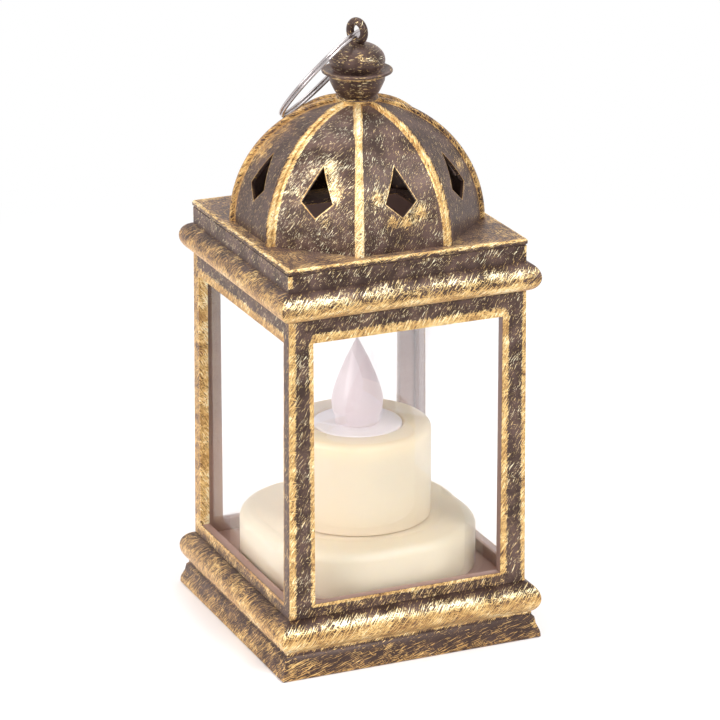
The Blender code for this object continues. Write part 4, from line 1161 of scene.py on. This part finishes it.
class LANTERN_OT_cage(bpy.types.Operator):
    """Build the four posts and the rails round the windows"""

    bl_idname = "lantern.cage"
    bl_label = "Cage"

    def execute(self, context):
        sizes = context.scene.lantern_sizes
        levels = cage_levels(sizes)
        bottom, sill_top, window_top, top = levels
        bm = fresh()
        square_loop(bm, cage_high.x, bottom, False)
        edges = bm.edges[:]
        for level in levels[1:]:
            verts, edges = extruded(bm, edges)
            half = cage_half(sizes, level)
            for vert in verts:
                vert.co = (math.copysign(half, vert.co.x), math.copysign(half, vert.co.y), level)

        # Rows of points beside the windows, along the middle of the posts and on the rails, for the gilding
        near_share = sizes.near_reach / (sizes.near_reach + sizes.far_reach)
        x_axis, y_axis = Vector((1, 0, 0)), Vector((0, 1, 0))
        for axis, out, post in ((x_axis, y_axis, sizes.front_post), (y_axis, x_axis, sizes.side_post)):
            window = window_half(sizes, out)
            for place in (window, window + post * near_share, window + post * (1 - near_share)):
                cut(bm, axis * place, axis)
                cut(bm, axis * -place, axis)
        for height in (sill_top / 2 + bottom / 2, window_top * 0.6 + top * 0.4):
            cut(bm, Vector((0, 0, height)), Vector((0, 0, 1)))

        openings = []
        for face in bm.faces:
            middle = face.calc_center_median()
            out = side_of(middle)
            along = abs(middle.x * out.y + middle.y * out.x)
            if sill_top < middle.z < window_top and along < window_half(sizes, out):
                openings.append(face)
        bmesh.ops.delete(bm, geom=openings, context="FACES")
        face_out(bm)
        bmesh.ops.solidify(bm, geom=bm.faces[:], thickness=sizes.cage_wall)
        face_out(bm)

        sharp = []
        for edge in bm.edges:
            ends = [vert.co.z for vert in edge.verts]
            at_end = min(ends) > top - GAP or max(ends) < bottom + GAP
            if edge.calc_face_angle(0.0) > math.radians(30) and not at_end:
                sharp.append(edge)
        bmesh.ops.bevel(bm, geom=sharp, offset=sizes.edge_round, segments=3, profile=0.5, affect="EDGES",
                        clamp_overlap=True, material=-1)
        for vert in bm.verts:
            gild(bm, [vert], cage_mark(sizes, vert.co))
        lay_out(bm, POST_LEAN, 1.0)
        piece("cage_frame", bm, gilded_bronze(), "lantern", "cage")
        return {"FINISHED"}


# Cornice, roof and dome

class LANTERN_OT_cornice(bpy.types.Operator):
    """Build the upper half-round and the fascia"""

    bl_idname = "lantern.cornice"
    bl_label = "Cornice"

    def execute(self, context):
        sizes, detail = context.scene.lantern_sizes, context.scene.lantern_detail
        radius = sizes.upper_roll
        roll_z = cornice_low.z + radius
        roll_top = roll_z + radius
        fascia = cage_high.x - CAGE_TAPER
        inner = cage_high.x - sizes.cage_wall
        high = meets(fascia, cornice_high.x, radius)
        profile = [(inner, cornice_high.z, INNER), (inner, cornice_low.z, INNER)]
        profile += half_round(cornice_high.x, roll_z, radius, -90, high, detail.roll_steps,
                              UPPER_ROLL_FRONT, UPPER_ROLL_SIDE)
        profile += [
            (fascia, roll_top, BARE),
            (fascia, roll_top + 0.0010, (0.11, CORNER_TONE)),
            (fascia, cornice_high.z - 0.0012, (0.14, CORNER_TONE)),
            (fascia, cornice_high.z - FINE_EDGE, (0.17, CORNER_TONE)),
            (fascia - FINE_EDGE, cornice_high.z, BARE),
        ]
        bm = draw_square(profile, sizes.corner, detail.corner_steps)
        corner_gold(bm, fascia, roll_top + 0.0005, cornice_high.z - 0.0001, sizes.corner_reach)
        lay_out(bm, ROLL_LEAN)
        piece("cornice_moulding", bm, gilded_bronze(), "lantern", "cornice")
        return {"FINISHED"}


def kite_sides():
    """The sides of a vent as pairs of (across, up) corners, going round."""
    corners = [
        Vector((0.0, VENT_TOP)),
        Vector((VENT_HALF_WIDTH, VENT_MIDDLE)),
        Vector((0.0, VENT_BOTTOM)),
        Vector((-VENT_HALF_WIDTH, VENT_MIDDLE)),
    ]
    return list(zip(corners, corners[1:] + corners[:1]))


def kite_distance(point):
    """How far a point of a panel lies outside the vent. Inside it the number is negative."""
    inside = True
    nearest = math.inf
    for start, end in kite_sides():
        along = end - start
        share = max(0.0, min(1.0, (point - start).dot(along) / along.dot(along)))
        nearest = min(nearest, (point - start - along * share).length)
        if along.x * (point.y - start.y) - along.y * (point.x - start.x) > 0:
            inside = False
    return -nearest if inside else nearest


def panel_mark(sizes, index, across, up, to_side):
    """The gilding of a point on a panel: gold beside the ribs and the vent, and in a few dabs."""
    left, right, cover, tone, rim = PANEL_BRUSH.get(index, PANEL_BRUSH[None])
    cover *= FIELD_LEAST + FIELD_MORE * math.exp(-(((up - FIELD_HEIGHT) / FIELD_REACH) ** 2))
    for panel, middle_across, middle_up, reach, amount, shift in DABS:
        if panel == index:
            share = math.exp(-((across - middle_across) ** 2 + (up - middle_up) ** 2) / reach ** 2)
            cover += amount * share
            tone += shift * share
    beside = max(0.0, to_side - sizes.rib_width * 0.54)
    from_rib = beside / (right if across > 0 else left)
    from_vent = max(0.0, kite_distance(Vector((across, up)))) / rim
    return min(FIELD_LIMIT, cover), tone, min(from_rib, from_vent)


def copy_round(bm):
    """Copies one eighth of the dome to the other seven places round the axis."""
    copies = DOME_SIDES - 1
    bmesh.ops.spin(bm, geom=everything(bm), cent=(0, 0, 0), axis=(0, 0, 1), use_duplicate=True,
                   angle=2 * math.pi * copies / DOME_SIDES, steps=copies)


def dome_panels(sizes, detail, springing):
    """The eight curved panels with their vents, as one wall."""
    panel_radius = sizes.dome_radius - sizes.rib_height
    crown = math.acos(CROWN_RADIUS / sizes.dome_radius)
    half_turn = math.pi / DOME_SIDES
    bm = fresh()
    rises = bm.verts.layers.float["rise"]
    bmesh.ops.create_grid(bm, x_segments=detail.panel_columns, y_segments=detail.panel_rows, size=1.0)
    for vert in bm.verts:
        angle = crown * (vert.co.y + 1) / 2
        out = panel_radius * math.cos(angle) * math.cos(half_turn)
        across = vert.co.x * panel_radius * math.cos(angle) * math.sin(half_turn)
        vert.co = (out, across, springing + panel_radius * math.sin(angle))
        vert[rises] = panel_radius * angle
    for start, end in kite_sides():
        along = end - start
        cut(bm, (0, start.x, springing + start.y), (0, -along.y, along.x))
    holes = []
    for face in bm.faces:
        middle = face.calc_center_median()
        if kite_distance(Vector((middle.y, middle.z - springing))) < 0:
            holes.append(face)
    bmesh.ops.delete(bm, geom=holes, context="FACES")
    copy_round(bm)
    layer, gilt = bm.loops.layers.uv["brush"], bm.verts.layers.float_vector["gilt"]
    turn = Matrix.Rotation(-math.radians(POST_LEAN), 2)
    for face in bm.faces:
        middle = face.calc_center_median()
        index = round(math.atan2(middle.y, middle.x) / (2 * half_turn)) % DOME_SIDES
        to_panel = Matrix.Rotation(-2 * half_turn * index, 3, "Z")
        for loop in face.loops:
            place = to_panel @ loop.vert.co
            path = Vector((place.y + index * PANEL_SHIFT, loop.vert[rises]))
            loop[layer].uv = turn @ path * FINE_STROKES
            to_side = place.x * math.tan(half_turn) - abs(place.y)
            loop.vert[gilt] = panel_mark(sizes, index, place.y, place.z - springing, to_side)
    merge(bm)
    face_out(bm)
    outer = set(bm.verts)
    bmesh.ops.solidify(bm, geom=bm.faces[:], thickness=sizes.dome_wall)
    gild(bm, [vert for vert in bm.verts if vert not in outer], DARK)
    return bm


def dome_ribs(sizes, detail, springing):
    """The eight half-round ribs, each along an edge between two panels."""
    crown = math.acos(CROWN_RADIUS / sizes.dome_radius)
    sunk = sizes.dome_radius - sizes.rib_height * RIB_SUNK
    shoulder = sizes.dome_radius - RIB_SHOULDER
    half_turn = math.pi / DOME_SIDES
    bm = fresh()
    section = [(sunk, -0.5), (shoulder, -0.5), (sizes.dome_radius, -0.25),
               (sizes.dome_radius, 0.25), (shoulder, 0.5), (sunk, 0.5)]
    points = [bm.verts.new((radius, side * sizes.rib_width, 0)) for radius, side in section]
    edges = [bm.edges.new((points[index - 1], points[index])) for index in range(len(points))]
    bmesh.ops.spin(bm, geom=points + edges, cent=(0, 0, 0), axis=(0, -1, 0), angle=crown,
                   steps=detail.panel_rows)
    cap_open_ends(bm)
    layer, rises = bm.loops.layers.uv["brush"], bm.verts.layers.float["rise"]
    turn = Matrix.Rotation(-math.radians(ROLL_LEAN), 2)
    for face in bm.faces:
        for loop in face.loops:
            place = loop.vert.co
            loop.vert[rises] = math.atan2(place.z, place.x) * sizes.dome_radius
            sunk_by = sizes.dome_radius - math.hypot(place.x, place.z)
            loop[layer].uv = turn @ Vector((place.y + math.copysign(sunk_by, place.y), loop.vert[rises]))
    for vert in bm.verts:
        vert.co.y *= 1 - RIB_DRAW_IN * math.atan2(vert.co.z, vert.co.x) / crown
    bmesh.ops.translate(bm, verts=bm.verts, vec=(0, 0, springing))
    bmesh.ops.rotate(bm, verts=bm.verts, cent=(0, 0, 0), matrix=Matrix.Rotation(half_turn, 3, "Z"))
    copy_round(bm)
    for face in bm.faces:
        middle = face.calc_center_median()
        index = round(math.atan2(middle.y, middle.x) / (2 * half_turn) - 0.5) % DOME_SIDES
        left, right = RIB_BRUSH.get(index, RIB_BRUSH[None])
        to_rib = Matrix.Rotation(-2 * half_turn * (index + 0.5), 3, "Z")
        for loop in face.loops:
            side = (to_rib @ loop.vert.co).y / sizes.rib_width
            mark = between(((-RIB_BLEND, *left), (RIB_BLEND, *right)), side)
            gild(bm, [loop.vert], mark, loop.vert[rises])
            loop[layer].uv += Vector((index * RIB_SHIFT[0], RIB_SHIFT[1]))
    face_out(bm)
    return bm


class LANTERN_OT_roof(bpy.types.Operator):
    """Build the roof plate, the ribbed dome with its vents, and the collar"""

    bl_idname = "lantern.roof"
    bl_label = "Roof and dome"

    def execute(self, context):
        sizes, detail = context.scene.lantern_sizes, context.scene.lantern_detail
        plate_half = roof_high.x
        plate_bottom = cornice_high.z
        plate_top = plate_bottom + GAP + PLATE_THICKNESS
        lip = cage_high.x - sizes.cage_wall - GAP
        plate = draw_square([
            (ROOF_OPENING, plate_top, BARE),
            (ROOF_OPENING, plate_bottom, INNER),
            (lip - LIP_WALL, plate_bottom, INNER),
            (lip - LIP_WALL, roof_low.z, INNER),
            (lip, roof_low.z, BARE),
            (lip, plate_bottom, BARE),
            (plate_half - PLATE_EDGE, plate_bottom, BARE),
            (plate_half, plate_bottom + PLATE_EDGE, THIN),
            (plate_half, plate_top - PLATE_EDGE * 2, (0.30, 0.5)),
            (plate_half, plate_top - PLATE_EDGE, (0.9, 0.8)),
            (plate_half - PLATE_EDGE, plate_top, (0.9, 0.75)),
            (plate_half - 0.0008, plate_top, (0.52, 0.42)),
            (plate_half - 0.0024, plate_top, (0.42, 0.34)),
            (plate_half - 0.0060, plate_top, (0.38, 0.32)),
        ], sizes.corner, detail.corner_steps)
        temper(plate, PLATE_SIDE_SHARE)
        lay_out(plate, SKIRT_LEAN)
        collar_top = roof_high.z
        collar = turn_profile([
            (0.0, collar_top - COLLAR_HEIGHT, BARE),
            (COLLAR_RADIUS - 0.0001, collar_top - COLLAR_HEIGHT, HALF),
            (COLLAR_RADIUS, collar_top - 0.0010, SOLID),
            (COLLAR_RADIUS, collar_top - FINE_EDGE, RICH),
            (COLLAR_RADIUS - FINE_EDGE, collar_top, THIN),
            (0.0, collar_top, BARE),
        ], detail.turn_steps)
        shapes = [plate, dome_panels(sizes, detail, plate_top), dome_ribs(sizes, detail, plate_top), collar]
        piece("roof_and_dome", gathered(shapes), gilded_bronze(), "lantern", "roof", 32.0)
        return {"FINISHED"}


# Finial and ring

class LANTERN_OT_finial(bpy.types.Operator):
    """Build the cup, the brim, the ball and the eye"""

    bl_idname = "lantern.finial"
    bl_label = "Finial"

    def execute(self, context):
        detail = context.scene.lantern_detail
        foot = finial_low.z - GAP
        cup_top = finial_low.z + CUP_HEIGHT
        brim = cup_top + BRIM_RISE
        ball_z = brim + BALL_RISE
        profile = [(0.0, foot, BARE), (CUP_FOOT, foot, RICH)]
        for step in range(CUP_STEPS + 1):
            share = step / CUP_STEPS
            radius = CUP_FOOT + CUP_FLARE * share ** CUP_BEND
            profile.append((radius, finial_low.z + CUP_HEIGHT * share, (0.06, 0.40)))
        profile += [
            (0.00595, brim - 0.0007, (0.08, 0.5)),
            (0.0063, brim - 0.0002, (0.85, 0.75)),
            (0.0069, brim + 0.0001, THIN),
            (0.0074, brim + 0.0002, THIN),
            (0.0075, brim + 0.00045, SPECKLED),
            (0.0074, brim + 0.0007, THIN),
            (0.0068, brim + 0.0007, BARE),
            (0.0059, brim + 0.0003, BARE),
        ]
        profile += arc(0.0, ball_z, BALL_RADIUS, -36, 90, BALL_STEPS, lambda degrees: SPECKLED,
                       BALL_HALF_HEIGHT)
        body = turn_profile(profile, detail.turn_steps)
        for level, dabs in ((ball_z, BALL_DABS), (cup_top, CUP_DABS)):
            for x, y, up, reach, cover in dabs:
                dab(body, Vector((x, y, level + up)), reach, cover, DAB_TONE)
        axis = math.radians(EYE_TURN_DEGREES)
        across = Vector((math.cos(axis), math.sin(axis), 0))
        eye = ring_of_wire(Vector((0, 0, finial_high.z - EYE_DROP)), across, EYE_WIRE, EYE_RADIUS, EYE_STEPS)
        gild(eye, eye.verts, SPECKLED)
        lay_out(eye, ROLL_LEAN)
        piece("finial_turned", gathered([body, eye]), gilded_bronze(), "lantern", "finial")
        return {"FINISHED"}


class LANTERN_OT_hanging_ring(bpy.types.Operator):
    """Build the two-turn wire ring through the eye"""

    bl_idname = "lantern.hanging_ring"
    bl_label = "Hanging ring"

    def execute(self, context):
        wire = context.scene.lantern_sizes.ring_wire
        pivot = Vector(next(joint["pos_m"] for joint in frame["joints"] if joint["name"] == "ring_swing"))
        hinge = Vector((1, 1, 0)).normalized()
        outward = Vector((-1, 1, 0)).normalized()
        lean = math.radians(RING_LEAN_DEGREES)
        down = outward * math.sin(lean) - Vector((0, 0, math.cos(lean)))
        bm = ring_of_wire(pivot + down * RING_RADIUS, hinge.cross(down).normalized(), wire, RING_RADIUS,
                          RING_STEPS, RING_TURNS, wire * RING_PITCH)
        piece("split_ring", bm, plated_steel(), "ring", "hanging_ring")
        return {"FINISHED"}


# Candle and flame

class LANTERN_OT_candle(bpy.types.Operator):
    """Build the two tiers of the candle and the white disc"""

    bl_idname = "lantern.candle"
    bl_label = "Candle"

    def execute(self, context):
        steps = context.scene.lantern_detail.turn_steps
        colours = context.scene.lantern_colours
        cream = plastic("cream_wax", colours.cream, 0.96, 0.42, 70.0, 0.45, (0.010, 0.007, 0.004))

        # The lower tier is a square so rounded that it looks turned
        half, bottom, top = foot_high.x, foot_low.z, cup_low.z - GAP
        inner = half - CANDLE_WALL
        profile = [(inner, bottom, BARE), (half, bottom, BARE)]
        profile += arc(half - TIER_EDGE, top - TIER_EDGE, TIER_EDGE, 0, 90, 10)
        profile += [(TIER_OPENING, top, BARE), (TIER_OPENING, top - CANDLE_WALL, BARE),
                    (inner, top - CANDLE_WALL, BARE)]
        tier = draw_square(profile, TIER_CORNER * inner / half, TIER_CORNER_STEPS, grow=True)
        piece("candle_lower_tier", tier, cream, "lantern", "candle_foot")

        radius, bottom, top = cup_high.x, cup_low.z, cup_high.z
        mouth = disc_high.x + GAP
        seat = disc_low.z - GAP
        ledge = mouth - CANDLE_WALL
        profile = [(radius - CANDLE_WALL, bottom, BARE), (radius, bottom, BARE)]
        profile += arc(radius - CUP_RIM, top - CUP_RIM, CUP_RIM, 0, 90, 10)
        profile += arc(mouth + MOUTH_EDGE, top - MOUTH_EDGE, MOUTH_EDGE, 90, 180, 6)
        profile += [(mouth, seat, BARE), (ledge, seat, BARE), (ledge, disc_low.z - 0.0013, BARE),
                    (radius - CANDLE_WALL, disc_low.z - 0.0025, BARE)]
        cup = turn_profile(profile, steps, True)
        piece("candle_upper_tier", cup, cream, "lantern", "candle_cup")

        rim, top = disc_high.x, disc_high.z
        disc = turn_profile([
            (DISC_HOLE, disc_low.z, BARE),
            (rim, disc_low.z, BARE),
            (rim, top - FINE_EDGE, BARE),
            (rim - FINE_EDGE, top, BARE),
            (DISC_HOLE, top, BARE),
        ], steps, True)
        piece("wick_disc", disc, white_plastic(), "lantern", "wick_plate")
        return {"FINISHED"}


def flame_outline(bottom, inset, tip_inset):
    """Profile of the flame from its foot to its tip, moved inwards by an inset."""
    top = flame_high.z - tip_inset
    belly = bottom + FLAME_BELLY_RISE
    points = [
        (FLAME_FOOT - inset, bottom + inset, BARE),
        (FLAME_FOOT - inset, bottom + 0.0012, BARE),
        (FLAME_HIP - inset, bottom + 0.0026, BARE),
    ]
    for step in range(FLAME_STEPS):
        share = step / FLAME_STEPS
        thin = (1 - share ** 1.32) ** 0.98
        points.append(((FLAME_BELLY - inset) * thin, belly + (top - belly) * share, BARE))
    return points + [(0.0, top, BARE)]


class LANTERN_OT_flame(bpy.types.Operator):
    """Build the hollow flame with its neck"""

    bl_idname = "lantern.flame"
    bl_label = "Flame"

    def execute(self, context):
        bottom = disc_high.z + GAP
        profile = flame_outline(bottom, FLAME_WALL, FLAME_TIP_WALL)[::-1]
        profile += [(NECK_INNER, bottom, BARE), (NECK_INNER, flame_low.z, BARE),
                    (NECK_OUTER, flame_low.z, BARE), (NECK_OUTER, bottom, BARE)]
        profile += flame_outline(bottom, 0.0, 0.0)
        bm = turn_profile(profile, context.scene.lantern_detail.turn_steps)
        piece("flame_shell", bm, flame_plastic(), "lantern", "flame", 50.0)
        return {"FINISHED"}


# Pieces that keep their CAD shape

class LANTERN_OT_panes(bpy.types.Operator):
    """Give the four panes their clear sheet"""

    bl_idname = "lantern.panes"
    bl_label = "Panes"

    def execute(self, context):
        sheet = clear_pane()
        for side in ("front", "back", "left", "right"):
            materials = frame["nodes"][f"pane_{side}"].data.materials
            materials.clear()
            materials.append(sheet)
        return {"FINISHED"}


def settle_normals(mesh, sharp_degrees):
    """Lets wide flat faces keep their own normals where they run into a small rounding."""
    faces_at = {}
    for face in mesh.polygons:
        for index in face.vertices:
            faces_at.setdefault(index, []).append(face)
    limit = math.cos(math.radians(sharp_degrees))
    normals = []
    for face in mesh.polygons:
        for loop in face.loop_indices:
            total = Vector()
            for other in faces_at[mesh.loops[loop].vertex_index]:
                if other.normal.dot(face.normal) > limit:
                    total += other.normal * other.area
            normals.append(total.normalized())
    mesh.normals_split_custom_set(normals)


def moulded(node, material):
    """A merged, smoothly shaded copy that stands for a CAD node."""
    bm = fresh()
    bm.from_mesh(frame["nodes"][node].data)
    merge(bm)
    body = RIDERS.get(node, "lantern")
    obj = piece(f"{node}_moulded", bm, material, body, node, MOULDED_SHARP_DEGREES)
    settle_normals(obj.data, MOULDED_SHARP_DEGREES)


class LANTERN_OT_works(bpy.types.Operator):
    """Finish the cover, the battery, the switch and the lamp inside"""

    bl_idname = "lantern.works"
    bl_label = "Cover, battery and lamp"

    def execute(self, context):
        finishes = {
            "black_plastic": plastic("black_moulded", context.scene.lantern_colours.black, 0.8, 0.5, 300.0),
            "white_plastic": white_plastic(),
            "steel": plated_steel(),
            "lamp_plastic": plastic("lamp_resin", (0.88, 0.86, 0.76), 0.96, 0.2, 300.0, 0.3),
            "board_laminate": plastic("board_laminate", (0.05, 0.22, 0.09), 0.8, 0.4, 400.0),
            "red_sheath": plastic("red_sheath", (0.45, 0.03, 0.02), 0.85, 0.45, 500.0),
            "black_sheath": plastic("black_sheath", (0.02, 0.02, 0.02), 0.85, 0.45, 500.0),
        }
        for slot_name, nodes in WORKS:
            for node in nodes:
                moulded(node, finishes[slot_name])
        return {"FINISHED"}


# The studio

def area_lamp(name, place, size, power, colour):
    """A round lamp that shines on the middle of the lantern."""
    data = bpy.data.lights.new(name, "AREA")
    data.shape = "DISK"
    data.size = size
    data.energy = power
    data.color = colour
    obj = bpy.data.objects.new(name, data)
    obj.location = place
    obj.rotation_euler = (Vector(LAMP_TARGET) - Vector(place)).to_track_quat("-Z", "Y").to_euler()
    bpy.context.scene.collection.objects.link(obj)


def studio_world():
    """White to the camera, in gloss and through glass, and a plain soft light on the object."""
    world = bpy.data.worlds.new("studio")
    bpy.context.scene.world = world
    world.use_nodes = True
    tree = world.node_tree
    background = tree.nodes["Background"]
    background.inputs["Color"].default_value = (1.0, 1.0, 1.0, 1.0)
    path = tree.nodes.new("ShaderNodeLightPath")
    seen = larger(tree, path.outputs["Is Camera Ray"], path.outputs["Is Glossy Ray"])
    seen = larger(tree, seen, path.outputs["Is Transmission Ray"])
    tree.links.new(ramp(tree, seen, 0.0, 1.0, 0.62, 1.0), background.inputs["Strength"])


def floor_material():
    """Pale floor that keeps the object's shadow and goes over to plain white away from it."""
    pale = bpy.context.scene.lantern_colours.floor
    material, tree, surface, vector = new_material("studio_floor")
    cloud, _ = mottled(tree, vector, 8.0)
    tree.links.new(mix_colour(tree, cloud, toned(pale, 0.99), pale), surface.inputs["Base Color"])
    give(surface, {"Roughness": 0.7, "Specular IOR Level": 0.2})
    distance = tree.nodes.new("ShaderNodeVectorMath")
    distance.operation = "LENGTH"
    tree.links.new(vector, distance.inputs[0])
    white = tree.nodes.new("ShaderNodeEmission")
    white.inputs["Strength"].default_value = 1.0
    mix = tree.nodes.new("ShaderNodeMixShader")
    tree.links.new(ramp(tree, distance.outputs["Value"], 0.10, 0.32), mix.inputs[0])
    tree.links.new(surface.outputs[0], mix.inputs[1])
    tree.links.new(white.outputs[0], mix.inputs[2])
    tree.links.new(mix.outputs[0], tree.nodes["Material Output"].inputs["Surface"])
    return material


class LANTERN_OT_stage(bpy.types.Operator):
    """Set up the camera, the floor, the lamps and the white surroundings"""

    bl_idname = "lantern.stage"
    bl_label = "Studio"

    def execute(self, context):
        scene = context.scene
        data = bpy.data.cameras.new("camera")
        data.lens = CAMERA_LENS
        data.sensor_width = CAMERA_SENSOR
        camera = bpy.data.objects.new("camera", data)
        camera.location = CAMERA_PLACE
        camera.rotation_euler = (math.radians(CAMERA_TILT_DEGREES), 0, math.radians(CAMERA_TURN_DEGREES))
        scene.collection.objects.link(camera)
        scene.camera = camera
        bm = bmesh.new()
        bmesh.ops.create_circle(bm, cap_ends=True, segments=96, radius=FLOOR_RADIUS)
        bmesh.ops.translate(bm, verts=bm.verts, vec=(0, 0, -FLOOR_DROP))
        mesh = bpy.data.meshes.new("floor")
        bm.to_mesh(mesh)
        bm.free()
        mesh.materials.append(floor_material())
        floor = bpy.data.objects.new("floor", mesh)
        scene.collection.objects.link(floor)
        studio_world()
        for lamp in LAMPS:
            area_lamp(*lamp)
        scene.view_settings.view_transform = "Standard"
        return {"FINISHED"}


class LANTERN_PT_panel(bpy.types.Panel):
    """The lantern's pieces, sizes and colours, in the sidebar"""

    bl_label = "Candle lantern"
    bl_space_type = "VIEW_3D"
    bl_region_type = "UI"
    bl_category = "Lantern"

    def draw(self, context):
        for operator in OPERATORS:
            self.layout.operator(operator.bl_idname)
        for name in GROUPS:
            group = getattr(context.scene, name)
            column = self.layout.column(align=True)
            for setting in group.__annotations__:
                column.prop(group, setting)


OPERATORS = (
    LANTERN_OT_stage,
    LANTERN_OT_base,
    LANTERN_OT_cage,
    LANTERN_OT_cornice,
    LANTERN_OT_roof,
    LANTERN_OT_finial,
    LANTERN_OT_hanging_ring,
    LANTERN_OT_candle,
    LANTERN_OT_flame,
    LANTERN_OT_panes,
    LANTERN_OT_works,
)
GROUPS = {
    "lantern_sizes": LanternSizes,
    "lantern_colours": LanternColours,
    "lantern_detail": LanternDetail,
}


def register():
    for group in GROUPS.values():
        bpy.utils.register_class(group)
    for operator in OPERATORS:
        bpy.utils.register_class(operator)
    bpy.utils.register_class(LANTERN_PT_panel)
    for name, group in GROUPS.items():
        setattr(bpy.types.Scene, name, PointerProperty(type=group))


def unregister():
    for name in GROUPS:
        delattr(bpy.types.Scene, name)
    bpy.utils.unregister_class(LANTERN_PT_panel)
    for operator in reversed(OPERATORS):
        bpy.utils.unregister_class(operator)
    for group in reversed(list(GROUPS.values())):
        bpy.utils.unregister_class(group)


def main():
    register()
    for operator in OPERATORS:
        area, name = operator.bl_idname.split(".")
        getattr(getattr(bpy.ops, area), name)()
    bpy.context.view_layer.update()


if __name__ == "__main__":
    main()
